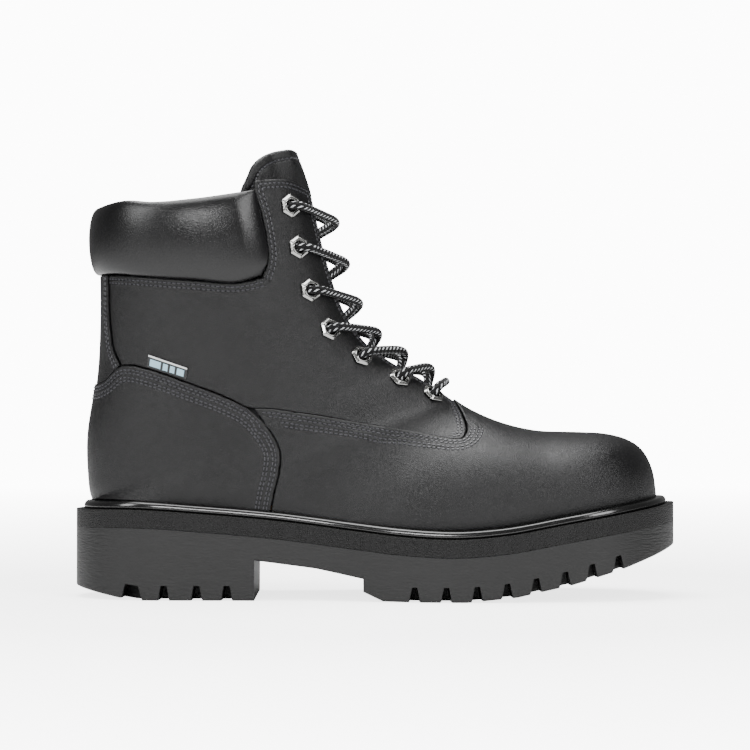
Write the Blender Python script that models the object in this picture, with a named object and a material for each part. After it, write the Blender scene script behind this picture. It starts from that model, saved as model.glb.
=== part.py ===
"""Steel toe work boot for the right foot: ankle high lace-up upper on a lugged sole.

The heel points to -X and the toe to +X, the outer (lateral) side to -Y and +Z is up. The origin is the
middle of the footprint on the ground. The upper is one closed surface, given by section lines that fan from
the front ridge to the back and the sole. Every leather piece is a patch of that surface with a thickness.
Tables are in millimetres, and everything that is built from them is in metres.
"""

import math

import bmesh
import bpy
import numpy as np
from mathutils import Matrix, Vector

for leftover in list(bpy.data.objects):
    bpy.data.objects.remove(leftover, do_unlink=True)

MM = 0.001
LATERAL = -1
MEDIAL = 1

# Driving dimensions, in millimetres
FIT_GAP = 0.35
HEEL_TIP_X = -146.5
TOE_TIP_X = 146.5
HEEL_TURN_X = -108.0
TOE_TURN_X = 88.0
WELT_RISE = 4.6
SOLE_MARGIN = 9.0
SIDE_SHARE = 0.8
BULGE = 1.05
BLEND_SHARE = 0.03
BAND_HEIGHT = 9.0
LACE_RADIUS = 2.1
EYELET_HOLE_RADIUS = 3.1
EYELET_HEX_RADIUS = 6.2
SEAM_GAP = 0.7
LINING_FOOT_V = 0.97
PAD_BULGE = 5.6
PAD_DEPTH = 6.0
LACE_HIGH = 6.0
LACE_LOW = 1.3
LACE_UNDER = -5.9
LACE_BAR = 4.6
LACE_DIVE = -5.5
LACE_BEHIND = 5.9
LACE_BARREL = 3.6
LACE_ASIDE = 3.6
LACE_FRONT = 4.6
LACE_OVER_EDGE = 2.2
AGLET_LENGTH = 22.0
TONGUE_CROWN = 4.6
TONGUE_RISE = 6.0
TONGUE_TUCK = 1.2

# Depth of each layer's outer and inner face below the outside of the upper (outwards is positive)
LAYERS = {"counter": (0.9, -1.1), "vamp": (0.0, -1.9), "backstay": (0.2, -1.6), "quarter": (-0.8, -2.4),
          "tag": (-0.4, 0.3), "cap": (-3.2, -4.8), "stiffener": (-2.9, -4.3), "lining": (-5.8, -6.8),
          "tongue": (-9.2, -13.0)}

# Half width of the gap between the facings: ridge z, y
FACING_GAP = [(95, 5.4), (110, 6.9), (120, 8.4), (131, 10.8), (146, 13.4), (166, 15.0), (240, 16.5)]

# Top of the sole along the boot: x, z
SOLE_TOP = [(-156, 45.6), (-120, 46.0), (-88, 43.9), (-50, 40.6), (-10, 35.6), (14, 32.9),
            (43, 31.7), (65, 33.4), (100, 39.6), (130, 44.8), (158, 49.4)]

# Notches between the lugs: x, width at the ground, width at the top
NOTCHES = [(-124, 10, 6), (-107.5, 5, 2.5), (-90.8, 5, 2.5), (-75.4, 5, 2.5), (20, 5, 2), (36, 5, 2), (51.5, 5, 2),
           (66.7, 5, 2), (81.3, 5, 2), (96, 5, 2), (109.6, 5, 2), (123.3, 5, 2)]
NOTCH_HEIGHT = 7.5
NOTCH_DEPTH = 15.0

# Underside of the sole along the boot: x, z
TREAD = [(-157, 6.5), (-150, 5.0), (-132, 1.5), (-122, 0.0), (-61.5, 0.0), (-61.4, 20.5), (-30, 16.5),
         (-6, 11.5), (-5.9, 5.0), (4, 0.4), (20, 0.0), (46, 0.0), (72, 2.6), (100, 8.8), (126, 16.5),
         (144, 23.0), (158, 28.6)]

# Width of the feather line between the turns of heel and toe: x, lateral half, medial half
WAIST = [(-108, 34.0, 34.0), (-65, 35.0, 33.5), (-25, 38.0, 33.5), (10, 45.5, 40.0), (40, 49.7, 47.6),
         (62, 49.7, 49.9), (88, 47.0, 47.5)]

# Closed sections of the shaft: ridge x, ridge z, back x, back z, half width, fullness
SHAFT = [(-40.0, 238, -143.0, 228, 43.5, 2.25),
         (-31.0, 213, -143.5, 202, 43.5, 2.25),
         (-23.0, 180, -143.0, 170, 42.0, 2.25),
         (-14.0, 151, -143.0, 140, 40.0, 2.25),
         (-3.0, 133, -144.5, 114, 38.5, 2.25),
         (6.0, 125.5, -149.0, 84, 37.5, 2.3),
         (12.0, 121.5, -148.5, 60, 37.0, 2.3)]

# Ridge of the foot: x, z
RIDGE = [(12.0, 121.5), (20, 116.8), (28, 112.0), (36, 106.5), (44, 100.5), (56, 94.0), (67, 89.8), (84, 86.0),
         (100, 85.2), (118, 84.6), (131, 81.5), (139, 76.0), (144, 68.0), (146.5, 54.0)]


def smooth(x, knots, column=1):
    """A smooth curve through the knots, sorted by their first value, read at x."""
    xs = np.array([knot[0] for knot in knots], float)
    ys = np.array([knot[column] for knot in knots], float)
    x = np.clip(np.asarray(x, float), xs[0], xs[-1])
    steps = np.diff(xs)
    slopes = np.diff(ys) / steps
    tangents = np.concatenate([slopes[:1], slopes[:1], slopes[-1:]])
    if len(xs) > 2:
        inner = (slopes[:-1] * steps[1:] + slopes[1:] * steps[:-1]) / (steps[:-1] + steps[1:])
        tangents = np.concatenate([slopes[:1], inner, slopes[-1:]])
    i = np.clip(np.searchsorted(xs, x, side="right") - 1, 0, len(steps) - 1)
    t = (x - xs[i]) / steps[i]
    return (ys[i] * (1 + 2 * t) * (1 - t) ** 2 + ys[i + 1] * t * t * (3 - 2 * t)
            + steps[i] * (tangents[i] * t * (1 - t) ** 2 - tangents[i + 1] * t * t * (1 - t)))


def sole_top(x):
    return smooth(x, SOLE_TOP)


def tread(x):
    """Underside of the sole, with its steps at the heel breast and at the front lugs."""
    xs, zs = zip(*TREAD)
    return np.interp(x, xs, zs)


def feather(x):
    """Height of the line where the upper meets the welt."""
    return sole_top(x) + WELT_RISE


def plan_half(x, side, margin=0.0):
    """Half width in plan, that far outside the feather line: round at the heel, blunter at the toe."""
    x = np.asarray(x, float)
    column = 1 if side == LATERAL else 2
    heel = np.clip((HEEL_TURN_X - x) / (HEEL_TURN_X - HEEL_TIP_X + margin), 0, 1)
    toe = np.clip((x - TOE_TURN_X) / (TOE_TIP_X + margin - TOE_TURN_X), 0, 1)
    width = smooth(np.clip(x, HEEL_TURN_X, TOE_TURN_X), WAIST, column) + SIDE_SHARE * margin
    return width * (1 - heel ** 2.1) ** 0.5 * (1 - toe ** 2.35) ** 0.5


def section_table():
    """Every section line from the top of the shaft to the toe tip.

    A row is ridge x, ridge z, base x, base z, least half width, fullness.
    """
    rows = list(SHAFT)
    heel_turn = [(HEEL_TURN_X + (HEEL_TIP_X - HEEL_TURN_X) * math.cos(a), a)
                 for a in np.radians([0, 22, 45, 68, 90])]
    bases = [x for x, _ in heel_turn] + [-80, -50, -22, 6, 30, 52, 72, TOE_TURN_X]
    bases += [TOE_TURN_X + (TOE_TIP_X - TOE_TURN_X) * math.sin(a) for a in np.radians([22, 40, 56, 70, 82, 90])]
    ridges = [15.5, 20, 25, 30.5, 36.5, 42, 47, 52, 57.5, 63, 69.5, 77.5, 88, 106, 120, 131.5, 139.5, 144.5, 146.5]
    for ridge_x, base_x in zip(ridges, bases):
        least = float(np.interp(base_x, [-60, 0], [37, 0]))
        rows.append((ridge_x, smooth(ridge_x, RIDGE), base_x, feather(base_x), least, 2.3))
    return np.array(rows, float)


SECTIONS = section_table()
LAST = len(SECTIONS) - 1
HEEL_CORNER = len(SHAFT) - 1
# u where the back centre line turns into the heel's feather line
CORNER_U = HEEL_CORNER + 1.0


def column_at(u, column):
    knots = [(i, row[column]) for i, row in enumerate(SECTIONS)]
    return smooth(u, knots)


def section(u, side):
    """Ridge, base, half width, fullness and end angle of the section lines at u."""
    ridge = np.stack([column_at(u, 0), column_at(u, 1)], -1)
    base = np.stack([column_at(u, 2), column_at(u, 3)], -1)
    on_sole = np.clip(np.asarray(u, float) - HEEL_CORNER, 0, 1)
    base_half = on_sole * plan_half(base[..., 0], side)
    # the wider of the two, with the change between them blended
    least, wide = column_at(u, 4), base_half * BULGE
    half = (least + wide) / 2 + np.sqrt(((least - wide) / 2) ** 2 + (BLEND_SHARE * least) ** 2)
    half = np.maximum(half, 0.01)
    fullness = column_at(u, 5)
    share = np.clip(base_half / half, 0, 1) ** (fullness / 2)
    end = math.pi - np.arcsin(share)
    return ridge, base, half, fullness, end


def power(value, fullness):
    return np.sign(value) * np.abs(value) ** (2 / fullness)


def surface(u, v, side):
    """The outside of the upper. u runs from the top of the shaft to the toe tip, v from the ridge to the base."""
    u, v = np.broadcast_arrays(np.asarray(u, float), np.asarray(v, float))
    ridge, base, half, fullness, end = section(u, side)
    angle = v * end
    share = (1 - power(np.cos(angle), fullness)) / (1 - power(np.cos(end), fullness))
    line = ridge + (base - ridge) * share[..., None]
    y = side * half * np.abs(np.sin(angle)) ** (2 / fullness)
    return np.stack([line[..., 0], y, line[..., 1]], -1)


def outward(u, v, side):
    """Unit normal of the surface, read just inside its poles."""
    step = 0.004
    u = np.clip(u, 0.01, LAST - 0.06)
    v = np.clip(v, 0.02, 0.985)
    along = surface(u + step, v, side) - surface(u - step, v, side)
    across = surface(u, v + step, side) - surface(u, v - step, side)
    normal = np.cross(along, across) * side
    normal /= np.maximum(np.linalg.norm(normal, axis=-1, keepdims=True), 1e-12)
    return normal


def placed(u, v, side, offset=0.0):
    """Points at that distance outside the surface, in millimetres. The centre plane stays on itself."""
    points = surface(u, v, side)
    on_plane = np.abs(points[..., 1]) < 0.02
    normal = np.where(on_plane[..., None], outward(u, v, LATERAL), outward(u, v, side))
    normal[..., 1] = np.where(on_plane, 0, normal[..., 1])
    normal /= np.maximum(np.linalg.norm(normal, axis=-1, keepdims=True), 1e-12)
    moved = points + normal * np.asarray(offset)[..., None]
    moved[..., 1] = np.where(on_plane, 0, side * np.maximum(side * moved[..., 1], 0))
    return moved


def locate(x, z, side):
    """u and v of the surface point that lies at x, z in the side view."""
    point = np.stack(np.broadcast_arrays(np.asarray(x, float), np.asarray(z, float)), -1)
    low = np.zeros(point.shape[:-1])
    high = np.full(point.shape[:-1], float(LAST))
    for _ in range(48):
        u = (low + high) / 2
        ridge, base, *_ = section(u, side)
        line, away = base - ridge, point - ridge
        beyond = line[..., 0] * away[..., 1] - line[..., 1] * away[..., 0] > 0
        low, high = np.where(beyond, u, low), np.where(beyond, high, u)
    ridge, base, _, fullness, end = section(u, side)
    line = base - ridge
    share = np.clip(((point - ridge) * line).sum(-1) / (line ** 2).sum(-1), 0, 1)
    cosine = 1 - share * (1 - power(np.cos(end), fullness))
    angle = np.arccos(np.clip(np.sign(cosine) * np.abs(cosine) ** (fullness / 2), -1, 1))
    return np.stack([u, np.clip(angle / end, 0, 1)], -1)


def project(points, side):
    """u and v of the surface point nearest in direction to points that lie close to the surface."""
    uv = locate(points[..., 0], points[..., 2], side)
    ridge, base, half, fullness, end = section(uv[..., 0], side)
    line = base - ridge
    share = ((points[..., [0, 2]] - ridge) * line).sum(-1) / (line ** 2).sum(-1)
    along = 1 - share * (1 - power(np.cos(end), fullness))
    across = np.abs(points[..., 1]) / half
    angle = np.arctan2(across ** (fullness / 2), np.sign(along) * np.abs(along) ** (fullness / 2))
    return np.stack([uv[..., 0], np.clip(angle / end, 0, 1)], -1)


# ---- edges and patches of the surface

def through(points, count):
    """That many points on a smooth curve through the given ones."""
    points = np.array(points, float)
    reach = np.concatenate([[0], np.cumsum(np.linalg.norm(np.diff(points, axis=0), axis=1))])
    at = np.linspace(0, reach[-1], count)
    return np.stack([smooth(at, list(zip(reach, column))) for column in points.T], -1)


def even(uv, count, side):
    """The same line with its points an equal distance apart on the surface."""
    points = surface(uv[:, 0], uv[:, 1], side)
    reach = np.concatenate([[0], np.cumsum(np.linalg.norm(np.diff(points, axis=0), axis=1))])
    at = np.linspace(0, reach[-1], count)
    return np.stack([np.interp(at, reach, uv[:, 0]), np.interp(at, reach, uv[:, 1])], -1)


def edge(points, count, side):
    """A line on the surface over the curve through these points of the side view."""
    curve = through(points, 160)
    return even(locate(curve[:, 0], curve[:, 1], side), count, side)


def rim(first_u, last_u, v, count, side):
    """A line along the ridge (v = 0) or along the back centre and the feather line (v = 1)."""
    us = np.linspace(first_u, last_u, 200)
    return even(np.stack([us, np.full(200, float(v))], -1), count, side)


def u_where(column, value, first, last):
    """u between two rows where a column of the section table has that value."""
    us = np.linspace(first, last, 400)
    values = column_at(us, column)
    order = np.argsort(values)
    return float(np.interp(value, values[order], us[order]))


def chain(*edges):
    """Edges joined end to end, each starting where the one before it ends."""
    return np.concatenate([edges[0]] + [line[1:] for line in edges[1:]])


def patch(bottom, top, left, right, side):
    """Grid of u, v between four edges: a Coons blend in space, dropped back on the surface."""
    low, high, start, finish = [surface(line[:, 0], line[:, 1], side) for line in (bottom, top, left, right)]
    s = np.linspace(0, 1, len(low))[:, None, None]
    t = np.linspace(0, 1, len(start))[None, :, None]
    blend = (1 - t) * low[:, None] + t * high[:, None] + (1 - s) * start[None] + s * finish[None]
    blend -= (1 - s) * ((1 - t) * low[0] + t * high[0]) + s * ((1 - t) * low[-1] + t * high[-1])
    uv = project(blend, side)
    uv[:, 0], uv[:, -1], uv[0], uv[-1] = bottom, top, left, right
    return uv


def layer(uv, side, outer, inner):
    """Outer and inner grids over a patch, at those distances outside the surface."""
    u, v = uv[..., 0], uv[..., 1]
    return placed(u, v, side, np.broadcast_to(outer, u.shape)), placed(u, v, side, np.broadcast_to(inner, u.shape))


# ---- meshes

def material(name, colour, roughness, metallic=0.0):
    made = bpy.data.materials.new(name)
    made.use_nodes = True
    shader = made.node_tree.nodes["Principled BSDF"]
    shader.inputs["Base Color"].default_value = (*colour, 1)
    shader.inputs["Roughness"].default_value = roughness
    shader.inputs["Metallic"].default_value = metallic
    return made


def add(name, mesh, finish):
    made = bpy.data.objects.new(name, mesh)
    bpy.context.scene.collection.objects.link(made)
    if finish:
        mesh.materials.append(finish)
    return made


def from_bmesh(name, shape, finish):
    bmesh.ops.recalc_face_normals(shape, faces=shape.faces)
    mesh = bpy.data.meshes.new(name)
    shape.to_mesh(mesh)
    shape.free()
    return add(name, mesh, finish)


def closed_shell(name, sheets, finish):
    """One closed body from pairs of grids: both faces, and a wall along every free edge."""
    outer = np.concatenate([grid.reshape(-1, 3) for grid, _ in sheets])
    inner = np.concatenate([grid.reshape(-1, 3) for _, grid in sheets])
    quads = []
    start = 0
    for grid, _ in sheets:
        index = start + np.arange(grid.shape[0] * grid.shape[1]).reshape(grid.shape[:2])
        corners = [index[:-1, :-1], index[1:, :-1], index[1:, 1:], index[:-1, 1:]]
        quads.append(np.stack(corners, -1).reshape(-1, 4))
        start += index.size
    _, first, same = np.unique(np.round(outer, 3), axis=0, return_index=True, return_inverse=True)
    quads = same.reshape(-1)[np.concatenate(quads)]
    shape = bmesh.new()
    outside = [shape.verts.new(point * MM) for point in outer[first]]
    inside = [shape.verts.new(point * MM) for point in inner[first]]
    for quad in quads:
        ring = [corner for i, corner in enumerate(quad) if corner != quad[i - 1]]
        if len(set(ring)) > 2:
            shape.faces.new([outside[corner] for corner in ring])
            shape.faces.new([inside[corner] for corner in reversed(ring)])
    ends = np.concatenate([quads[:, [i, (i + 1) % 4]] for i in range(4)])
    ends = np.sort(ends[ends[:, 0] != ends[:, 1]], axis=1)
    pairs, count = np.unique(ends, axis=0, return_counts=True)
    for a, b in pairs[count == 1]:
        shape.faces.new([outside[a], outside[b], inside[b], inside[a]])
    return from_bmesh(name, shape, finish)


# ---- outlines of the leather pieces in the side view: x, z

SEAM = [(-61.5, 97.6), (-56, 97.6), (-38.2, 95.5), (-5.6, 90.2), (26.8, 84.8), (39.5, 82.4)]
THROAT = [(39.5, 82.4), (45.0, 82.9), (47.2, 86.4), (46.9, 91.6), (44.8, 97.2), (41.2, 102.8)]
COUNTER_FRONT = [(-53.5, 45.5), (-51.7, 54.7), (-49, 66.1), (-48.6, 74.9), (-51.7, 82.8), (-57.1, 90.7),
                 (-64.9, 97.7)]
COUNTER_TOP = [(-146.4, 110.0), (-141.5, 110.6), (-138.0, 112.6), (-134.4, 116.4), (-130.6, 119.0), (-125.5, 119.4),
               (-116.7, 117.6), (-95.6, 110.4), (-72.9, 101.6), (-64.9, 97.7)]
BACKSTAY_BOTTOM = [(-146.4, 111.0), (-141.7, 111.6), (-138.5, 113.5), (-135.0, 117.2), (-131.6, 119.8)]
BACKSTAY_FRONT = [(-131, 120.0), (-134.8, 127.6), (-136.6, 138), (-137.5, 165.8)]
PAD_BOTTOM = [(-143.9, 166.5), (-137.5, 166.8), (-117.5, 165.2), (-92, 163.3), (-67, 162.4), (-58, 165.5)]
PAD_FRONT = [(-58, 165.5), (-54.9, 172), (-55.6, 185.7), (-58.2, 197.6), (-61.5, 209.0)]
PAD_TOP = [(-143.2, 201), (-127.4, 204), (-114.5, 203), (-92.4, 204.5), (-67.2, 208.1), (-61.5, 209.0)]
FACING_TOP = [(-61, 213.8), (-52, 214.8), (-43.6, 214.8), (-37.9, 213.0)]
LINING_FRONT = [(-58, 160), (-52, 148), (-42, 130), (-28, 112), (-12, 98), (-4, 82), (-7, 60), (-12, 42)]
TONGUE_EDGE = [(-64.5, 190), (-60, 172), (-55, 158), (-46, 142), (-30, 124), (-12, 110), (8, 99), (24, 93),
               (34, 91), (44, 92)]
TONGUE_TOP = [(-64.5, 190), (-65.8, 210), (-62, 217), (-59, 222.8), (-52.4, 228.8), (-45, 232.3), (-38.6, 233)]
FREE_END = [(-49.8, 196), (-49.2, 186), (-47.2, 174), (-43.6, 161), (-38.2, 148.5), (-30.5, 138), (-21, 130),
            (-10, 123)]
EYELETS = [(-42.8, 201.5), (-38.7, 180.4), (-32.7, 158.4), (-22.6, 138.7), (-6.6, 125), (13.1, 114), (30.5, 105.7)]


def shifted(points, dx, dz):
    return [(x + dx, z + dz) for x, z in points]


def facing_v(u, side):
    """v of the front edge of the facing, near the ridge."""
    ridge, _, half, fullness, end = section(u, side)
    return np.arcsin((smooth(ridge[..., 1], FACING_GAP) / half) ** (fullness / 2)) / end


def throat_line(side, dx=0.0, dz=0.0):
    """Throat edge from the vamp seam up to the ridge, and the part of it outside the facing edges."""
    curve = through(shifted(THROAT, dx, dz), 200)
    whole = locate(curve[:, 0], curve[:, 1], side)
    return whole, whole[:np.count_nonzero(whole[:, 1] > facing_v(whole[:, 0], side))]


def counter_half(side):
    top_u = u_where(3, COUNTER_TOP[0][1], 0, HEEL_CORNER)
    front = edge(COUNTER_FRONT, 8, side)
    front[0] = [front[0, 0], 1]
    back = rim(CORNER_U, top_u, 1, 8, side)
    top = edge(COUNTER_TOP, 15, side)
    top[0] = back[-1]
    top[-1] = front[-1]
    bottom = rim(CORNER_U, front[0, 0], 1, 15, side)
    return patch(bottom, top, back, front, side)


def quarter_halves(side):
    """Two patches: the body of the quarter, and the facing strip above it."""
    seam = edge(shifted(SEAM, 0, SEAM_GAP), 12, side)
    _, throat = throat_line(side, -1.3 * SEAM_GAP, SEAM_GAP)
    throat = even(throat, 3, side)
    seam[-1] = throat[0]
    counter = [(-130.6, 119.9), (-125.5, 120.1), (-116.7, 118.1), (-95.6, 110.9), (-72.9, 102.2), SEAM[0]]
    lower = edge(shifted(counter, 0, SEAM_GAP), 9, side)
    lower[-1] = seam[0]
    top_u = u_where(1, 211.0, 0, 3)
    last_u = throat[-1, 0]
    us = np.linspace(top_u, last_u, 300)
    facing = np.stack([us, facing_v(us, side)], -1)
    middle_u = 2.4
    strip_front = even(facing[us <= middle_u], 7, side)
    body_front = even(np.concatenate([strip_front[-1:], facing[us > middle_u]]), 10, side)
    body_front[-1] = throat[-1]
    pad_corner = (-57.0, 164.0)
    upper = edge(shifted(PAD_BOTTOM[1:5], 0, -0.7) + [pad_corner], 15, side)
    joint = even(np.linspace(upper[-1], strip_front[-1], 100), 6, side)
    pad_side = edge([pad_corner] + shifted(PAD_FRONT[1:], 0.7, 0) + FACING_TOP[:1], 7, side)
    pad_side[0] = upper[-1]
    top = edge(FACING_TOP, 90, side)
    top = even(np.concatenate([top, strip_front[:1]]), 6, side)
    top[0] = pad_side[-1]
    back_points = [(-130.4, 120.6)] + shifted(BACKSTAY_FRONT[1:3], SEAM_GAP, 0) + [(-137.5, 166.1)]
    back = edge(back_points, 12, side)
    back[0], back[-1] = lower[0], upper[0]
    front = chain(throat, body_front[::-1])
    bottom = chain(lower, seam)
    body = patch(bottom, chain(upper, joint), back, front, side)
    strip = patch(joint, top, pad_side, strip_front[::-1], side)
    return body, strip


def vamp_half(side):
    left = edge(shifted(COUNTER_FRONT, SEAM_GAP, 0)[:-1] + [SEAM[0]], 9, side)
    left[0] = [left[0, 0], 1]
    seam = edge(SEAM, 12, side)
    seam[0] = left[-1]
    throat = even(throat_line(side)[0], 6, side)
    throat[0] = seam[-1]
    throat[-1, 1] = 0
    ridge = rim(throat[-1, 0], LAST, 0, 13, side)
    turn_u = [u_where(2, x, 10, LAST) for x in (22, 47)]
    bottom = chain(rim(left[0, 0], turn_u[0], 1, 12, side), rim(turn_u[0], turn_u[1], 1, 6, side),
                   rim(turn_u[1], LAST, 1, 13, side))
    tip = np.stack([np.full(9, float(LAST)), np.linspace(1, 0, 9)], -1)
    return patch(bottom, chain(seam, throat, ridge), left, tip, side)


def backstay_half(side):
    back = rim(u_where(3, 110.9, 0, 6), u_where(3, 165.6, 0, 6), 1, 8, side)
    front = edge(shifted(BACKSTAY_FRONT, -SEAM_GAP, 0), 8, side)
    bottom = edge(BACKSTAY_BOTTOM, 6, side)
    top = edge([(-143.3, 165.6), (-138, 165.8)], 6, side)
    bottom[0], bottom[-1], top[0], top[-1] = back[0], front[0], back[-1], front[-1]
    return patch(bottom, top, back, front, side)


def cap_half(side, back_x, foot_v):
    """The toe from a section line forward, down to just above the feather line."""
    first_u = u_where(0, back_x, HEEL_CORNER, LAST)
    ridge = rim(first_u, LAST, 0, 11, side)
    v = np.linspace(0, foot_v, 9)
    return np.stack(np.meshgrid(ridge[:, 0], v, indexing="ij"), -1)


def edge_strip_half(side, back_x, front_x):
    first_u, last_u = [u_where(0, x, HEEL_CORNER, LAST) for x in (back_x, front_x)]
    return np.stack(np.meshgrid([first_u, last_u], np.linspace(0, 0.97, 11), indexing="ij"), -1)


def stiffener_half(side):
    back = rim(CORNER_U + 0.2, u_where(3, 98, 0, HEEL_CORNER), 1, 5, side)
    front = edge([(-72, 47.6), (-68, 60), (-74, 80), (-84, 90)], 5, side)
    top = edge([(-147.6, 98), (-130, 101), (-105, 98), (-84, 90)], 8, side)
    bottom = rim(CORNER_U + 0.2, front[0, 0], 1, 8, side)
    bottom[:, 1] = front[0, 1] = back[0, 1] = 0.985
    top[0] = back[-1] = [back[-1, 0], 1]
    top[-1] = front[-1]
    bottom[0] = back[0] = [bottom[0, 0], 1]
    bottom[-1] = front[0]
    return patch(bottom, top, back, front, side)


def shaft_lining_half(side):
    back = rim(CORNER_U + 0.1, u_where(3, 158, 0, HEEL_CORNER), 1, 9, side)
    front = edge(LINING_FRONT[::-1], 9, side)
    front[0] = [front[0, 0], 1]
    top = edge([(-143.4, 158), (-110, 158), (-80, 157), LINING_FRONT[0]], 10, side)
    bottom = rim(CORNER_U + 0.1, front[0, 0], 1, 10, side)
    bottom[1:, 1] = front[0, 1] = LINING_FOOT_V
    top[0], top[-1] = back[-1], front[-1]
    return patch(bottom, top, back, front, side)


def vamp_lining_half(side):
    left = edge(shifted(LINING_FRONT[-1:-4:-1], 1.8, 0), 6, side)
    left[0] = [left[0, 0], 1]
    top = edge([(-2.2, 82), (12, 82), (28, 82), (40, 85), (50, 90), (54, 95.3)], 8, side)
    top[0] = left[-1]
    top[-1, 1] = 0
    ridge = rim(top[-1, 0], LAST, 0, 10, side)
    turn_u = u_where(2, 45, 10, LAST)
    bottom = chain(rim(left[0, 0], turn_u, 1, 8, side), rim(turn_u, LAST, 1, 10, side))
    bottom[:, 1] = left[0, 1] = LINING_FOOT_V
    tip = np.stack([np.full(6, float(LAST)), np.linspace(LINING_FOOT_V, 0, 6)], -1)
    return patch(bottom, chain(top, ridge), left, tip, side)


def tongue_half(side):
    """The tongue from its base under the throat to its rounded top."""
    base_u = u_where(0, 47, HEEL_CORNER, LAST)
    ridge = rim(u_where(1, 233, 0, 3), base_u, 0, 20, side)
    wing = edge(TONGUE_EDGE, 16, side)
    crown = edge(TONGUE_TOP, 9, side)
    top = even(crown[4:], 5, side)[::-1]
    top[0] = ridge[0]
    back = even(np.concatenate([even(crown[:5], 60, side)[::-1], wing]), 20, side)
    back[0] = top[-1]
    base = edge([(47, 99), (44, 92)], 5, side)
    base[0], base[-1] = ridge[-1], back[-1]
    return patch(ridge, back, top, base, side)


def pad_half(side):
    back = rim(u_where(3, 166.5, 0, 6), u_where(3, 201, 0, 6), 1, 8, side)
    front = edge(PAD_FRONT, 8, side)
    bottom = edge(PAD_BOTTOM, 13, side)
    top = edge(PAD_TOP, 13, side)
    bottom[0], bottom[-1], top[0], top[-1] = back[0], front[0], back[-1], front[-1]
    return patch(bottom, top, back, front, side)


def tag_patch(side):
    lower = edge([(-116.5, 118.9), (-96.6, 112.6)], 5, side)
    upper = edge([(-115.6, 125.1), (-95.7, 118.3)], 5, side)
    left = edge([(-116.5, 118.9), (-115.6, 125.1)], 3, side)
    right = edge([(-96.6, 112.6), (-95.7, 118.3)], 3, side)
    return patch(lower, upper, left, right, side)


# ---- leather pieces

BLACK_LEATHER = material("full grain leather, black", (0.012, 0.012, 0.013), 0.42)
LINING = material("brushed cotton drill lining", (0.05, 0.05, 0.052), 0.9)
STEEL = material("pressed steel, lacquered", (0.35, 0.35, 0.36), 0.35, 1.0)
NICKEL = material("nickel plated brass", (0.62, 0.62, 0.60), 0.22, 1.0)
RUBBER = material("moulded rubber, black", (0.018, 0.018, 0.018), 0.7)
GLOSS_RUBBER = material("moulded rubber, glossy black", (0.012, 0.012, 0.012), 0.2)
BOARD = material("pressed fibre board", (0.42, 0.30, 0.17), 0.9)
CORK = material("cork filler", (0.45, 0.27, 0.13), 0.95)
FOAM = material("open cell foam, grey", (0.12, 0.12, 0.13), 0.95)
BRAID = material("polyester braid, black and grey", (0.05, 0.05, 0.05), 0.8)
SOFT_PLASTIC = material("thermoplastic, clear black", (0.03, 0.03, 0.03), 0.3)
TAPE = material("woven tape, black", (0.02, 0.02, 0.02), 0.85)


def layered(name, patches, layer_name, finish=BLACK_LEATHER):
    outer, inner = LAYERS[layer_name]
    return closed_shell(name, [layer(uv, side, outer, inner) for uv, side in patches], finish)


def both(half, *more):
    return [(half(side, *more), side) for side in (LATERAL, MEDIAL)]


def build_upper():
    layered("counter_cover", both(counter_half), "counter")
    layered("vamp", both(vamp_half), "vamp")
    layered("backstay", both(backstay_half), "backstay")
    quarters = {}
    for name, side in (("quarter_lateral", LATERAL), ("quarter_medial", MEDIAL)):
        quarters[side] = layered(name, [(uv, side) for uv in quarter_halves(side)], "quarter")
    layered("steel_toe_cap", both(cap_half, 78, 0.97), "cap", STEEL)
    layered("toe_cap_edge", both(edge_strip_half, 71, 77.4), "cap", RUBBER)
    layered("heel_stiffener", both(stiffener_half), "stiffener", BOARD)
    layered("shaft_lining", both(shaft_lining_half), "lining", LINING)
    layered("vamp_lining", both(vamp_lining_half), "lining", LINING)
    layered("side_tag", [(tag_patch(LATERAL), LATERAL)], "tag", TAPE)
    return quarters


def build_collar_pad():
    """Padded collar: it swells outside the leather and inside it, and is thin along its edges."""
    sheets = []
    for side in (LATERAL, MEDIAL):
        uv = pad_half(side)
        along = np.linspace(0, 1, uv.shape[0])[:, None]
        up = np.linspace(0, 1, uv.shape[1])[None]
        swell = np.clip(4 * up * (1 - up), 0, 1) ** 0.4 * np.clip((1 - along) * 9, 0, 1) ** 0.5
        sheets.append(layer(uv, side, 0.2 + PAD_BULGE * swell, -1.4 - PAD_DEPTH * swell))
    closed_shell("collar_pad", sheets, BLACK_LEATHER)


def build_tongue():
    """The padded tongue lies deep under the facings and rises between them and at its top."""
    outer, inner = LAYERS["tongue"]
    sheets = []
    for side in (LATERAL, MEDIAL):
        uv = tongue_half(side)
        points = surface(uv[..., 0], uv[..., 1], side)
        crown = TONGUE_CROWN * np.exp(-(points[..., 1] / 8.0) ** 2) * np.clip((points[..., 2] - 118) / 25, 0, 1)
        rise = np.clip((points[..., 2] - 205) / 20, 0, 1) * TONGUE_RISE
        aside = np.clip((np.abs(points[..., 1]) - 18) / 10, 0, 1)
        lift = np.minimum(crown + rise * (1 - 0.7 * aside), TONGUE_RISE) - TONGUE_TUCK * aside
        sheets.append(layer(uv, side, outer + lift, inner + lift))
    return closed_shell("tongue", sheets, BLACK_LEATHER)


# ---- sole and inside

def stations(margin, extra=()):
    """x of the ribs of a sole layer: close together round the heel and the toe, and at the extra places."""
    heel = HEEL_TURN_X + (HEEL_TIP_X - margin - HEEL_TURN_X) * np.sin(np.radians([90, 75, 58, 40, 20]))
    toe = TOE_TURN_X + (TOE_TIP_X + margin - TOE_TURN_X) * np.sin(np.radians([15, 30, 44, 57, 69, 80, 90]))
    middle = [x for x in np.linspace(HEEL_TURN_X, TOE_TURN_X, 15) if np.abs(np.array([1e3, *extra]) - x).min() > 4]
    return np.array(sorted({*heel, *toe, *middle, *extra}))


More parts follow.
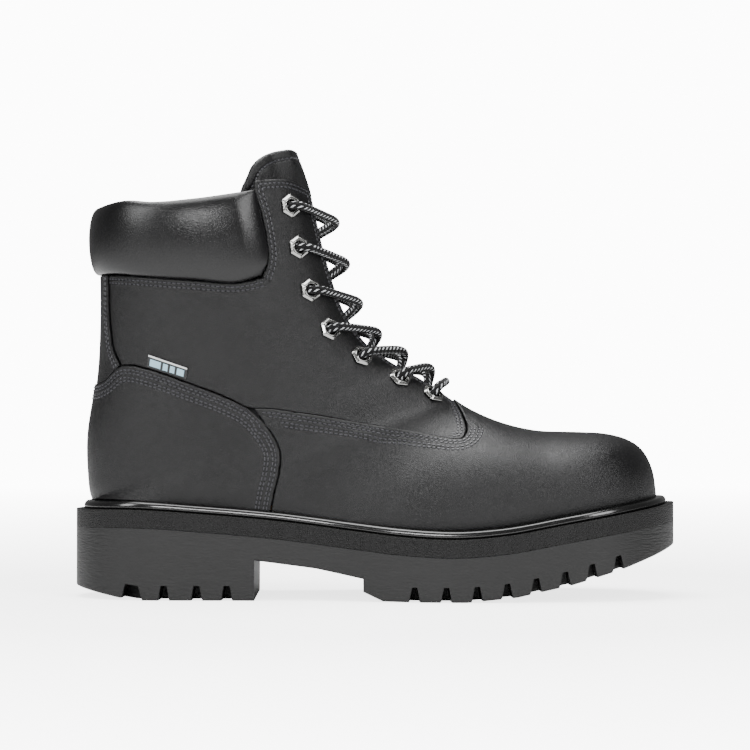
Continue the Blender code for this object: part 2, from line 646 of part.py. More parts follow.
def slab(name, margin, lower, upper, finish, extra=(), cells=4):
    """A layer of the sole that fills the footprint between two heights, each a function of x."""
    xs = stations(margin, extra)
    share = np.linspace(0, 1, cells + 1)
    y = -plan_half(xs, LATERAL, margin)[:, None] * (1 - share) + plan_half(xs, MEDIAL, margin)[:, None] * share
    x = np.repeat(xs[:, None], cells + 1, axis=1)
    top, bottom = [np.stack([x, y, np.repeat(z(xs)[:, None], cells + 1, axis=1)], -1) for z in (upper, lower)]
    return closed_shell(name, [(top, bottom)], finish)


def above(height):
    return lambda x: sole_top(x) + height


def outline(margin):
    """Closed outline in plan, that far outside the feather line, anticlockwise from the heel."""
    xs = stations(margin)
    lateral = np.stack([xs, -plan_half(xs, LATERAL, margin)], -1)
    medial = np.stack([xs, plan_half(xs, MEDIAL, margin)], -1)
    return np.concatenate([lateral, medial[-2:0:-1]])


def build_welt():
    """Rubber ring under the edge of the upper: a profile of margin and height carried round the outline."""
    profile = [(-2.5, 0.35), (4.4, 0.35), (5.0, 1.1), (4.8, 2.6), (3.9, 3.8), (2.4, 4.2), (-2.5, 4.2)]
    loops = []
    for margin, height in profile:
        plan = outline(margin)
        loops.append(np.column_stack([plan, sole_top(plan[:, 0]) + height]))
    shape = bmesh.new()
    rings = [[shape.verts.new(point * MM) for point in loop] for loop in loops]
    for ring, after in zip(rings, rings[1:] + rings[:1]):
        for i in range(len(ring)):
            shape.faces.new([ring[i - 1], ring[i], after[i], after[i - 1]])
    return from_bmesh("welt", shape, GLOSS_RUBBER)


def lug_cutters():
    """Every notch between the lugs as one cutter: wedges that come in from both sides."""
    shape = bmesh.new()
    for x, base, tip in NOTCHES:
        for side in (LATERAL, MEDIAL):
            reach = float(plan_half(x, side, SOLE_MARGIN))
            z = float(tread(x))
            points = [(x + along * width / 2, side * (reach + across), z + height)
                      for height, width in ((-3, base), (NOTCH_HEIGHT, tip))
                      for across in (6, -NOTCH_DEPTH) for along in (-1, 1)]
            corners = [shape.verts.new(Vector(point) * MM) for point in points]
            bmesh.ops.convex_hull(shape, input=corners)
    cutter = from_bmesh("lug_cutter", shape, None)
    cutter.hide_render = True
    cutter.display_type = "WIRE"
    return cutter


def cut(target, cutter):
    boolean = target.modifiers.new("cut", "BOOLEAN")
    boolean.operation = "DIFFERENCE"
    boolean.object = cutter


def build_sole():
    steps = [x for x, _ in TREAD[1:-1]]
    outsole = slab("outsole", SOLE_MARGIN, tread, above(-BAND_HEIGHT - FIT_GAP), RUBBER, steps)
    cut(outsole, lug_cutters())
    slab("midsole", SOLE_MARGIN, above(-BAND_HEIGHT), above(0), RUBBER)
    build_welt()
    slab("cork_filler", -8.0, above(0.35), above(2.2), CORK)
    slab("insole_board", -10.6, above(4.7), above(6.7), BOARD)
    slab("footbed", -11.2, above(7.1), above(11.4), FOAM)
    x = np.repeat(np.linspace(-112, 20, 12)[:, None], 2, axis=1)
    y = np.repeat([[-7.0, 7.0]], 12, axis=0)
    top, bottom = [np.stack([x, y, sole_top(x) + height], -1) for height in (4.2, 2.6)]
    closed_shell("steel_shank", [(top, bottom)], STEEL)


# ---- eyelets and lace

def eyelet_frame(row, side):
    """Centre, outward normal, and the direction towards the facing edge, at that eyelet."""
    x, z = EYELETS[row]
    u, v = locate(x, z, side)
    centre = surface(u, v, side)
    normal = outward(u, v, side)
    ahead = surface(u, v - 0.01, side) - centre
    ahead -= normal * (ahead @ normal)
    return centre, normal, ahead / np.linalg.norm(ahead)


def eyelet_mesh():
    """Hexagonal flange on a round barrel, as rings of radius, height and 1 where the ring is a hexagon."""
    rings = [(EYELET_HOLE_RADIUS, -3.0, 0), (EYELET_HOLE_RADIUS, 0.4, 0), (3.8, 0.85, 0), (5.4, 0.5, 1),
             (EYELET_HEX_RADIUS, -0.05, 1), (EYELET_HEX_RADIUS - 0.2, -0.4, 1), (3.85, -0.4, 0), (3.85, -3.0, 0)]
    shape = bmesh.new()
    loops = []
    for radius, height, hexagon in rings:
        loop = []
        for step in range(12):
            angle = math.radians(30 * step)
            reach = radius * (math.cos(math.radians(30)) if hexagon and step % 2 == 0 else 1)
            loop.append(shape.verts.new(Vector((reach * math.cos(angle), reach * math.sin(angle), height)) * MM))
        loops.append(loop)
    for loop, after in zip(loops, loops[1:] + loops[:1]):
        for i in range(12):
            shape.faces.new([loop[i - 1], loop[i], after[i], after[i - 1]])
    bmesh.ops.recalc_face_normals(shape, faces=shape.faces)
    mesh = bpy.data.meshes.new("eyelet")
    shape.to_mesh(mesh)
    shape.free()
    return mesh


def build_eyelets(quarters):
    mesh = eyelet_mesh()
    mesh.materials.append(NICKEL)
    for side, side_name in ((LATERAL, "lateral"), (MEDIAL, "medial")):
        holes = bmesh.new()
        for row in range(len(EYELETS)):
            centre, normal, ahead = eyelet_frame(row, side)
            turn = Matrix((ahead, np.cross(normal, ahead), normal)).transposed().to_4x4()
            place = Matrix.Translation(Vector(centre * MM)) @ turn
            eyelet = add(f"eyelet_{side_name}_{row + 1}", mesh, None)
            eyelet.location = place.to_translation()
            eyelet.rotation_euler = place.to_euler()
            bmesh.ops.create_cone(holes, cap_ends=True, segments=12, radius1=4.4 * MM, radius2=4.4 * MM,
                                  depth=14 * MM, matrix=place)
        cutter = from_bmesh(f"eyelet_hole_cutter_{side_name}", holes, None)
        cutter.hide_render = True
        cutter.display_type = "WIRE"
        cut(quarters[side], cutter)


def towards(frame, target):
    """Unit vector along the leather from an eyelet to a target point."""
    centre, normal, _ = frame
    way = target - centre
    way = way - normal * (way @ normal)
    return way / np.linalg.norm(way)


def strand(first_side, arriving):
    """Route of one half of the lace, from the top eyelet down to the bottom one, crossing at every row."""
    route = []
    side = first_side
    for row in range(len(EYELETS)):
        frame = eyelet_frame(row, side)
        centre, normal, _ = frame
        under = towards(frame, arriving)
        route.append(centre - normal * LACE_BEHIND + under * LACE_ASIDE)
        route.append(centre - normal * LACE_BARREL - under * 0.6)
        if row == len(EYELETS) - 1:
            break
        here, below = locate(*EYELETS[row], side)[0], locate(*EYELETS[row + 1], -side)[0]
        middle_u = (here + below) / 2
        high = (first_side == LATERAL) == (row % 2 == 0)
        middle = placed(middle_u, 0.0, side, LACE_HIGH if high else LACE_LOW)
        out = towards(frame, middle)
        route.append(centre + normal * 1.5 - out * 0.4)
        route.append(centre + normal * LACE_FRONT + out * LACE_ASIDE)
        if not high:
            over_u = here + 0.3 * (below - here)
            route.append(placed(over_u, facing_v(over_u, side), side, LACE_OVER_EDGE))
        route.append(middle)
        edge_u = below + 0.3 * (here - below)
        side = -side
        arriving = placed(edge_u, facing_v(edge_u, side), side, LACE_DIVE)
        route.append(arriving)
    return route


def free_end(side):
    """Route of a lace end, tucked down between quarter and tongue behind the eyelets, from its tip up."""
    curve = np.array(FREE_END, float)
    uv = locate(curve[:, 0], curve[:, 1], side)
    return list(placed(uv[:, 0], uv[:, 1], side, LACE_UNDER))[::-1]


def lace_route():
    """The whole lace: up one free end, down one strand, across the bottom row and back up the other."""
    ends = {side: free_end(side) for side in (LATERAL, MEDIAL)}
    first, second = [strand(side, ends[side][-1]) for side in (LATERAL, MEDIAL)]
    frames = [eyelet_frame(len(EYELETS) - 1, side) for side in (MEDIAL, LATERAL)]
    middle_u = locate(*EYELETS[-1], LATERAL)[0]
    middle = placed(middle_u, 0.0, LATERAL, LACE_BAR)
    bar = []
    for frame in frames:
        out = towards(frame, middle)
        bar.append([frame[0] + frame[1] * 1.5 - out * 0.4, frame[0] + frame[1] * 4.4 + out * 3.8])
    return (ends[LATERAL] + first + bar[1] + [middle] + bar[0][::-1] + second[::-1] + ends[MEDIAL][::-1])


def build_lace():
    route = lace_route()
    curve = bpy.data.curves.new("lace", "CURVE")
    curve.dimensions = "3D"
    curve.bevel_depth = LACE_RADIUS * MM
    curve.bevel_resolution = 2
    curve.use_fill_caps = True
    spline = curve.splines.new("POLY")
    spline.points.add(len(route) - 1)
    for point, place in zip(spline.points, route):
        point.co = (*(place * MM), 1)
    lace = bpy.data.objects.new("lace", curve)
    bpy.context.scene.collection.objects.link(lace)
    curve.materials.append(BRAID)
    for name, tip, before in (("aglet_lateral", route[0], route[1]), ("aglet_medial", route[-1], route[-2])):
        way = Vector(tip - before).normalized()
        shape = bmesh.new()
        bmesh.ops.create_cone(shape, cap_ends=True, segments=10, radius1=1.7 * MM, radius2=1.4 * MM,
                              depth=AGLET_LENGTH * MM)
        aglet = from_bmesh(name, shape, SOFT_PLASTIC)
        aglet.location = (Vector(tip) + way * (AGLET_LENGTH / 2 + FIT_GAP)) * MM
        aglet.rotation_euler = way.to_track_quat("Z", "Y").to_euler()
    lengths = np.linalg.norm(np.diff(np.array(route), axis=0), axis=1)
    print("lace", len(route), "points", round(float(lengths.sum()) + 2 * AGLET_LENGTH, 1), "mm")


build_eyelets(build_upper())
build_collar_pad()
build_tongue()
build_sole()
build_lace()
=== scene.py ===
import math

import bpy
import numpy as np
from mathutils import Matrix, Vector


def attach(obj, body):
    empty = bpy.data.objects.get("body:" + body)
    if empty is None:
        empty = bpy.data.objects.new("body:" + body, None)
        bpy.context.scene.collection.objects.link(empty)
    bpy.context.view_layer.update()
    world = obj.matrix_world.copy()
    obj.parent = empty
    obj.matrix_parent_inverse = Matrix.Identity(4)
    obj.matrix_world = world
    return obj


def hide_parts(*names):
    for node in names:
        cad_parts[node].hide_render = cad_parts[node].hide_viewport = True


# Steel toe work boot, right foot. Tables are in millimetres, meshes are put into Blender in metres.
# The upper is one closed surface: section lines fan from the front ridge to the back and the sole,
# and every leather piece is a patch of that surface with a thickness.

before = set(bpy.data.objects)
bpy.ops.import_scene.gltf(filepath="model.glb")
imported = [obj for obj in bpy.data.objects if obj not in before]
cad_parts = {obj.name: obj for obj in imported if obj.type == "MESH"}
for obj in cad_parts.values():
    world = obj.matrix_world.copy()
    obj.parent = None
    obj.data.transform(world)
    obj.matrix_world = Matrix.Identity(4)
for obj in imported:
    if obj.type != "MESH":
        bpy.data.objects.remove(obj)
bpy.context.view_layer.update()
mm = 0.001
lateral, medial = -1, 1
sides = {"lateral": lateral, "medial": medial}


# ---- camera and studio

studio = {
    "cameraDistance": 1600.0, "cameraHeight": 114.8, "lens": 147.2,
    "floor": "#fbfbfb", "backdrop": "#ffffff", "backdropStrength": 12.0, "fillStrength": 0.2,
    "floorLift": (3.0, 12.0),
    # name, place, target, size in metres, power in watts
    "softboxes": [("top_softbox", (-0.1, 0.0, 1.2), (0, 0, 0.08), (1.3, 0.9), 34),
                  ("front_softbox", (0.85, -1.0, 0.8), (0.05, 0, 0.08), (0.5, 0.9), 15),
                  ("near_softbox", (-0.3, -1.5, 0.62), (-0.03, 0, 0.14), (0.35, 0.3), 8.5),
                  ("left_softbox", (-1.1, -0.8, 0.8), (-0.05, 0, 0.12), (0.4, 0.9), 11)],
}


def linear(hexColour):
    values = [int(hexColour[i:i + 2], 16) / 255 for i in (1, 3, 5)]
    return [v / 12.92 if v <= 0.04045 else ((v + 0.055) / 1.055) ** 2.4 for v in values] + [1.0]


def buildCamera():
    camera = bpy.data.objects.new("camera", bpy.data.cameras.new("camera"))
    camera.data.lens = studio["lens"]
    camera.data.sensor_width = 36
    camera.location = (0, -studio["cameraDistance"] * mm, studio["cameraHeight"] * mm)
    camera.rotation_euler = (math.pi / 2, 0, 0)
    bpy.context.scene.collection.objects.link(camera)
    bpy.context.scene.camera = camera


def softbox(name, place, target, size, power):
    light = bpy.data.lights.new(name, "AREA")
    light.shape = "RECTANGLE"
    light.size, light.size_y = size
    light.energy = power
    lamp = bpy.data.objects.new(name, light)
    lamp.location = place
    lamp.rotation_euler = (Vector(target) - Vector(place)).to_track_quat("-Z", "Y").to_euler()
    bpy.context.scene.collection.objects.link(lamp)


# ---- the last: the outside of the upper as a function of u and v

last = {
    "heelTip": -146.5, "toeTip": 146.5, "heelTurn": -108.0, "toeTurn": 88.0,
    "weltRise": 4.6, "sideShare": 0.8, "bulge": 1.05, "blendShare": 0.03,
    "soleTop": [(-156, 45.6), (-120, 46.0), (-88, 43.9), (-50, 40.6), (-10, 35.6), (14, 32.9),
                (43, 31.7), (65, 33.4), (100, 39.6), (130, 44.8), (158, 49.4)],
    "waist": [(-108, 34.0, 34.0), (-65, 35.0, 33.5), (-25, 38.0, 33.5), (10, 45.5, 40.0), (40, 49.7, 47.6),
              (62, 49.7, 49.9), (88, 47.0, 47.5)],
    # ridge x, ridge z, back x, back z, half width, fullness
    "shaft": [(-40.0, 238, -143.0, 228, 43.5, 2.25), (-31.0, 213, -143.5, 202, 43.5, 2.25),
              (-23.0, 180, -143.0, 170, 42.0, 2.25), (-14.0, 151, -143.0, 140, 40.0, 2.25),
              (-3.0, 133, -144.5, 114, 38.5, 2.25), (6.0, 125.5, -149.0, 84, 37.5, 2.3),
              (12.0, 121.5, -148.5, 60, 37.0, 2.3)],
    "ridge": [(12.0, 121.5), (20, 116.8), (28, 112.0), (36, 106.5), (44, 100.5), (56, 94.0), (67, 89.8),
              (84, 86.0), (100, 85.2), (118, 84.6), (131, 81.5), (139, 76.0), (144, 68.0), (146.5, 54.0)],
    "facingGap": [(95, 5.4), (110, 6.9), (120, 8.4), (131, 10.8), (146, 13.4), (166, 15.0), (240, 16.5)],
}


# Cubic Hermite curve through the knots, with a parabola's slope at each one
def smooth(x, knots, column=1):
    xs = np.array([knot[0] for knot in knots], float)
    ys = np.array([knot[column] for knot in knots], float)
    x = np.clip(np.asarray(x, float), xs[0], xs[-1])
    steps = np.diff(xs)
    slopes = np.diff(ys) / steps
    inner = (slopes[:-1] * steps[1:] + slopes[1:] * steps[:-1]) / (steps[:-1] + steps[1:])
    tangents = np.concatenate([slopes[:1], inner, slopes[-1:]])
    i = np.clip(np.searchsorted(xs, x, side="right") - 1, 0, len(steps) - 1)
    t = (x - xs[i]) / steps[i]
    return (ys[i] * (1 + 2 * t) * (1 - t) ** 2 + ys[i + 1] * t * t * (3 - 2 * t)
            + steps[i] * (tangents[i] * t * (1 - t) ** 2 - tangents[i + 1] * t * t * (1 - t)))


def soleTop(x):
    return smooth(x, last["soleTop"])


def feather(x):
    return soleTop(x) + last["weltRise"]


# Half width in plan: the waist table between the turns, then w (1 - t^p)^0.5 round the heel and the toe
def planHalf(x, side, margin=0.0):
    x = np.asarray(x, float)
    heel = np.clip((last["heelTurn"] - x) / (last["heelTurn"] - last["heelTip"] + margin), 0, 1)
    toe = np.clip((x - last["toeTurn"]) / (last["toeTip"] + margin - last["toeTurn"]), 0, 1)
    inside = np.clip(x, last["heelTurn"], last["toeTurn"])
    width = smooth(inside, last["waist"], 1 if side == lateral else 2) + last["sideShare"] * margin
    return width * (1 - heel ** 2.1) ** 0.5 * (1 - toe ** 2.35) ** 0.5


# Rows of ridge x, ridge z, base x, base z, least half width and fullness, from the shaft's top to the toe tip
def sectionTable():
    rows = list(last["shaft"])
    heelTurn, toeTurn = last["heelTurn"], last["toeTurn"]
    bases = [heelTurn + (last["heelTip"] - heelTurn) * math.cos(a) for a in np.radians([0, 22, 45, 68, 90])]
    bases += [-80, -50, -22, 6, 30, 52, 72, toeTurn]
    toeAngles = np.radians([22, 40, 56, 70, 82, 90])
    bases += [toeTurn + (last["toeTip"] - toeTurn) * math.sin(a) for a in toeAngles]
    ridges = [15.5, 20, 25, 30.5, 36.5, 42, 47, 52, 57.5, 63, 69.5, 77.5, 88, 106, 120, 131.5, 139.5, 144.5,
              146.5]
    for ridgeX, baseX in zip(ridges, bases):
        least = float(np.interp(baseX, [-60, 0], [37, 0]))
        rows.append((ridgeX, smooth(ridgeX, last["ridge"]), baseX, feather(baseX), least, 2.3))
    return np.array(rows, float)


sections = sectionTable()
lastRow = len(sections) - 1
heelCorner = len(last["shaft"]) - 1
columns = [[(i, row[column]) for i, row in enumerate(sections)] for column in range(6)]


def section(u, side):
    ridge = np.stack([smooth(u, columns[0]), smooth(u, columns[1])], -1)
    base = np.stack([smooth(u, columns[2]), smooth(u, columns[3])], -1)
    onSole = np.clip(np.asarray(u, float) - heelCorner, 0, 1)
    baseHalf = onSole * planHalf(base[..., 0], side)
    # the wider of the two, with the change between them blended
    least, wide = smooth(u, columns[4]), baseHalf * last["bulge"]
    half = (least + wide) / 2 + np.sqrt(((least - wide) / 2) ** 2 + (last["blendShare"] * least) ** 2)
    half = np.maximum(half, 0.01)
    fullness = smooth(u, columns[5])
    end = math.pi - np.arcsin(np.clip(baseHalf / half, 0, 1) ** (fullness / 2))
    return ridge, base, half, fullness, end


def power(value, fullness):
    return np.sign(value) * np.abs(value) ** (2 / fullness)


# A superellipse arc in each section plane: |sin|^(2/f) sideways, cos^(2/f) along the line from ridge to base
def surface(u, v, side):
    u, v = np.broadcast_arrays(np.asarray(u, float), np.asarray(v, float))
    ridge, base, half, fullness, end = section(u, side)
    angle = v * end
    share = (1 - power(np.cos(angle), fullness)) / (1 - power(np.cos(end), fullness))
    line = ridge + (base - ridge) * share[..., None]
    return np.stack([line[..., 0], side * half * np.abs(np.sin(angle)) ** (2 / fullness), line[..., 1]], -1)


def unit(vectors):
    return vectors / np.maximum(np.linalg.norm(vectors, axis=-1, keepdims=True), 1e-12)


# Cross product of the two slopes, taken by central differences just inside the poles
def outward(u, v, side):
    step = 0.004
    u = np.clip(u, 0.01, lastRow - 0.06)
    v = np.clip(v, 0.02, 0.985)
    along = surface(u + step, v, side) - surface(u - step, v, side)
    across = surface(u, v + step, side) - surface(u, v - step, side)
    return unit(np.cross(along, across) * side)


# Points at a distance outside the surface; those on the centre plane stay on it
def placed(u, v, side, offset=0.0):
    points = surface(u, v, side)
    onPlane = np.abs(points[..., 1]) < 0.02
    normal = np.where(onPlane[..., None], outward(u, v, lateral), outward(u, v, side))
    normal[..., 1] = np.where(onPlane, 0, normal[..., 1])
    moved = points + unit(normal) * np.asarray(offset)[..., None]
    moved[..., 1] = np.where(onPlane, 0, side * np.maximum(side * moved[..., 1], 0))
    return moved


# u by bisection between section lines, then v from the share of the way down the line
def locate(x, z, side):
    point = np.stack(np.broadcast_arrays(np.asarray(x, float), np.asarray(z, float)), -1)
    low = np.zeros(point.shape[:-1])
    high = np.full(point.shape[:-1], float(lastRow))
    for _ in range(30):
        u = (low + high) / 2
        start = np.stack([smooth(u, columns[0]), smooth(u, columns[1])], -1)
        line = np.stack([smooth(u, columns[2]), smooth(u, columns[3])], -1) - start
        away = point - start
        beyond = line[..., 0] * away[..., 1] - line[..., 1] * away[..., 0] > 0
        low, high = np.where(beyond, u, low), np.where(beyond, high, u)
    ridge, base, _, fullness, end = section(u, side)
    line = base - ridge
    share = np.clip(((point - ridge) * line).sum(-1) / (line ** 2).sum(-1), 0, 1)
    cosine = 1 - share * (1 - power(np.cos(end), fullness))
    angle = np.arccos(np.clip(np.sign(cosine) * np.abs(cosine) ** (fullness / 2), -1, 1))
    return np.stack([u, np.clip(angle / end, 0, 1)], -1)


# The same for points in space near the surface: v from the direction inside the section plane
def project(points, side):
    uv = locate(points[..., 0], points[..., 2], side)
    ridge, base, half, fullness, end = section(uv[..., 0], side)
    line = base - ridge
    share = ((points[..., [0, 2]] - ridge) * line).sum(-1) / (line ** 2).sum(-1)
    along = 1 - share * (1 - power(np.cos(end), fullness))
    across = np.abs(points[..., 1]) / half
    angle = np.arctan2(across ** (fullness / 2), np.sign(along) * np.abs(along) ** (fullness / 2))
    return np.stack([uv[..., 0], np.clip(angle / end, 0, 1)], -1)


# The same functions for an array of uv, and the point of the surface seen at x and z
def spot(uv, side):
    return surface(uv[..., 0], uv[..., 1], side)


def lifted(uv, side, offset):
    return placed(uv[..., 0], uv[..., 1], side, offset)


def normalAt(uv, side):
    return outward(uv[..., 0], uv[..., 1], side)


def seenAt(x, z, side):
    return surface(*locate(x, z, side), side)


# ---- lines and patches on the surface

def reachOf(points):
    return np.concatenate([[0], np.cumsum(np.linalg.norm(np.diff(points, axis=0), axis=1))])


def through(points, count):
    points = np.array(points, float)
    reach = reachOf(points)
    at = np.linspace(0, reach[-1], count)
    return np.stack([smooth(at, list(zip(reach, column))) for column in points.T], -1)


def even(uv, count, side):
    reach = reachOf(spot(uv, side))
    at = np.linspace(0, reach[-1], count)
    return np.stack([np.interp(at, reach, uv[:, 0]), np.interp(at, reach, uv[:, 1])], -1)


def edge(points, count, side):
    curve = through(points, 300)
    return even(locate(*curve.T, side), count, side)


def rim(firstU, lastU, v, count, side):
    us = np.linspace(firstU, lastU, 400)
    return even(np.stack([us, np.full(400, float(v))], -1), count, side)


def uWhere(column, value, first, final):
    us = np.linspace(first, final, 400)
    values = smooth(us, columns[column])
    order = np.argsort(values)
    return float(np.interp(value, values[order], us[order]))


def chain(*edges):
    return np.concatenate([edges[0]] + [line[1:] for line in edges[1:]])


# Shares of the way along a length where the grid lines lie: 0.4 mm apart near the ends that carry stitches
def spread(length, dense, coarse=1.25):
    close = np.array([0.0, 0.15, 0.4, 0.8, 1.2, 1.6, 2.0, 2.4, 2.8, 3.2, 3.6, 4.0, 4.4, 4.8, 5.2, 5.6, 6.0,
                      6.5, 7.0, 7.5, 8.0, 8.6, 9.3])
    plain = np.array([0.0, 0.2, 0.6])
    first, final = [close[close < length * 0.45] if flag else plain for flag in dense]
    final = length - final[::-1]
    middle = np.linspace(first[-1], final[0], max(2, int((final[0] - first[-1]) / coarse)) + 1)[1:-1]
    return np.concatenate([first, middle, final]) / length


def resampled(line, at):
    index = at * (len(line) - 1)
    return np.stack([np.interp(index, np.arange(len(line)), column) for column in line.T], -1)


# Coons patch between four edges, blended in space and dropped back on the surface. s and t give the shares
# of its grid lines; without them it keeps the points of its edges.
def patch(bottom, top, left, right, side, s=None, t=None):
    if s is not None:
        if len(bottom) != len(s):
            bottom, top = resampled(bottom, s), resampled(top, s)
        left, right = resampled(left, t), resampled(right, t)
    low, high, start, finish = [spot(line, side) for line in (bottom, top, left, right)]
    s = (np.linspace(0, 1, len(low)) if s is None else s)[:, None, None]
    t = (np.linspace(0, 1, len(start)) if t is None else t)[None, :, None]
    blend = (1 - t) * low[:, None] + t * high[:, None] + (1 - s) * start[None] + s * finish[None]
    blend -= (1 - s) * ((1 - t) * low[0] + t * high[0]) + s * ((1 - t) * low[-1] + t * high[-1])
    uv = project(blend, side)
    uv[:, 0], uv[:, -1], uv[0], uv[-1] = bottom, top, left, right
    return uv


def shifted(points, dx, dz):
    return [(x + dx, z + dz) for x, z in points]


def facingV(u, side):
    ridge, _, half, fullness, end = section(u, side)
    return np.arcsin((smooth(ridge[..., 1], last["facingGap"]) / half) ** (fullness / 2)) / end


# ---- meshes

def addObject(name, mesh, finish):
    piece = bpy.data.objects.new(name, mesh)
    bpy.context.scene.collection.objects.link(piece)
    mesh.materials.append(finish)
    return piece


# Quads with a repeated corner become triangles; every face is smooth, with edges over 40 degrees sharp
def makeMesh(name, points, faces, finish):
    faces = np.asarray(faces)
    flat = (faces == np.roll(faces, 1, axis=1)).sum(1)
    corners = [list(dict.fromkeys(face)) for face in faces[flat == 1].tolist()]
    mesh = bpy.data.meshes.new(name)
    mesh.from_pydata((points * mm).tolist(), [], faces[flat == 0].tolist() + corners)
    mesh.shade_smooth()
    mesh.set_sharp_from_angle(angle=math.radians(40))
    return addObject(name, mesh, finish)


def gridFaces(rows, count, wrap=False):
    index = np.arange(rows * count).reshape(rows, count)
    if wrap:
        index = np.concatenate([index, index[:, :1]], axis=1)
    return np.stack([index[:-1, :-1], index[1:, :-1], index[1:, 1:], index[:-1, 1:]], -1).reshape(-1, 4)


# Faces of a ring: rows of points round it, the last row joined to the first
def ringFaces(rows, count):
    index = np.arange(rows * count).reshape(rows, count)
    close = np.stack([index[-1], index[0], np.roll(index[0], -1), np.roll(index[-1], -1)], -1)
    return np.concatenate([gridFaces(rows, count, wrap=True), close])


# Both faces of a wall from pairs of grids, with a strip along each free edge. turn is 1 where rows x columns
# already faces outwards and -1 where it faces inwards.
def closedShell(name, sheets, finish):
    outer = np.concatenate([sheet[0].reshape(-1, 3) for sheet in sheets])
    inner = np.concatenate([sheet[1].reshape(-1, 3) for sheet in sheets])
    quads = []
    start = 0
    for grid, _, turn in sheets:
        faces = start + gridFaces(*grid.shape[:2])
        quads.append(faces if turn > 0 else faces[:, ::-1])
        start += grid.shape[0] * grid.shape[1]
    _, first, same = np.unique(np.round(outer, 3), axis=0, return_index=True, return_inverse=True)
    quads = same.reshape(-1)[np.concatenate(quads)]
    ends = np.concatenate([quads[:, [i, (i + 1) % 4]] for i in range(4)])
    ends = ends[ends[:, 0] != ends[:, 1]]
    _, back, count = np.unique(np.sort(ends, axis=1), axis=0, return_inverse=True, return_counts=True)
    free = ends[count[back.reshape(-1)] == 1]
    more = len(first)
    walls = np.stack([free[:, 1], free[:, 0], free[:, 0] + more, free[:, 1] + more], -1)
    return makeMesh(name, np.concatenate([outer[first], inner[first]]),
                    np.concatenate([quads, quads[:, ::-1] + more, walls]), finish)


# One patch as a sheet for closedShell: its outer and inner points at two offsets, and its turn
def sheetOf(uv, side, outer, inner):
    grids = [lifted(uv, side, np.broadcast_to(depth, uv.shape[:2])) for depth in (outer, inner)]
    return (*grids, turnOf(uv, side))


def turnOf(uv, side):
    u, v = uv[..., 0], uv[..., 1]
    a, b = uv.shape[0] // 2, uv.shape[1] // 2
    points = surface(u, v, side)
    cross = np.cross(points[a + 1, b] - points[a, b], points[a, b + 1] - points[a, b])
    return 1 if cross @ outward(u[a, b], v[a, b], side) > 0 else -1


# Distance from each point to the nearest of a line's points, which lie close together
def distanceTo(points, line):
    flat = points.reshape(-1, 3)
    found = np.empty(len(flat))
    for start in range(0, len(flat), 4000):
        part = flat[start:start + 4000]
        found[start:start + 4000] = np.sqrt(((part[:, None] - line[None]) ** 2).sum(-1).min(1))
    return found.reshape(points.shape[:-1])


def lineOf(uv, side):
    fine = even(uv, int(reachOf(spot(uv, side))[-1] / 0.4) + 2, side)
    return spot(fine, side)


def average(line, reach):
    padded = np.concatenate([np.repeat(line[:1], reach, 0), line, np.repeat(line[-1:], reach, 0)])
    sums = np.cumsum(np.concatenate([np.zeros((1, 3)), padded]), axis=0)
    smoothed = (sums[2 * reach + 1:] - sums[:-2 * reach - 1]) / (2 * reach + 1)
    smoothed[0], smoothed[-1] = line[0], line[-1]
    return smoothed


# A line on the surface beside another one, at a distance on the side of a given point. Its direction is
# evened over a few millimetres, so that it rounds the corners.
def inset(uv, side, distance, inside):
    uv = even(uv, int(reachOf(spot(uv, side))[-1] / 0.4), side)
    points = spot(uv, side)
    way = unit(np.cross(normalAt(uv, side), unit(np.gradient(points, axis=0))))
    if ((inside - points) * way).sum() < 0:
        way = -way
    way = unit(average(way, int(1 + distance * 1.2)))
    return project(average(points + way * distance, 3), side)


# ---- stitches

# the hole size is the radius of the black disc painted as each needle hole's shade
stitching = {"pitch": 2.5, "thickness": 1.0, "height": 1.05, "share": 0.78, "holeShade": 0.78, "sink": 0.02,
             "sides": 6}
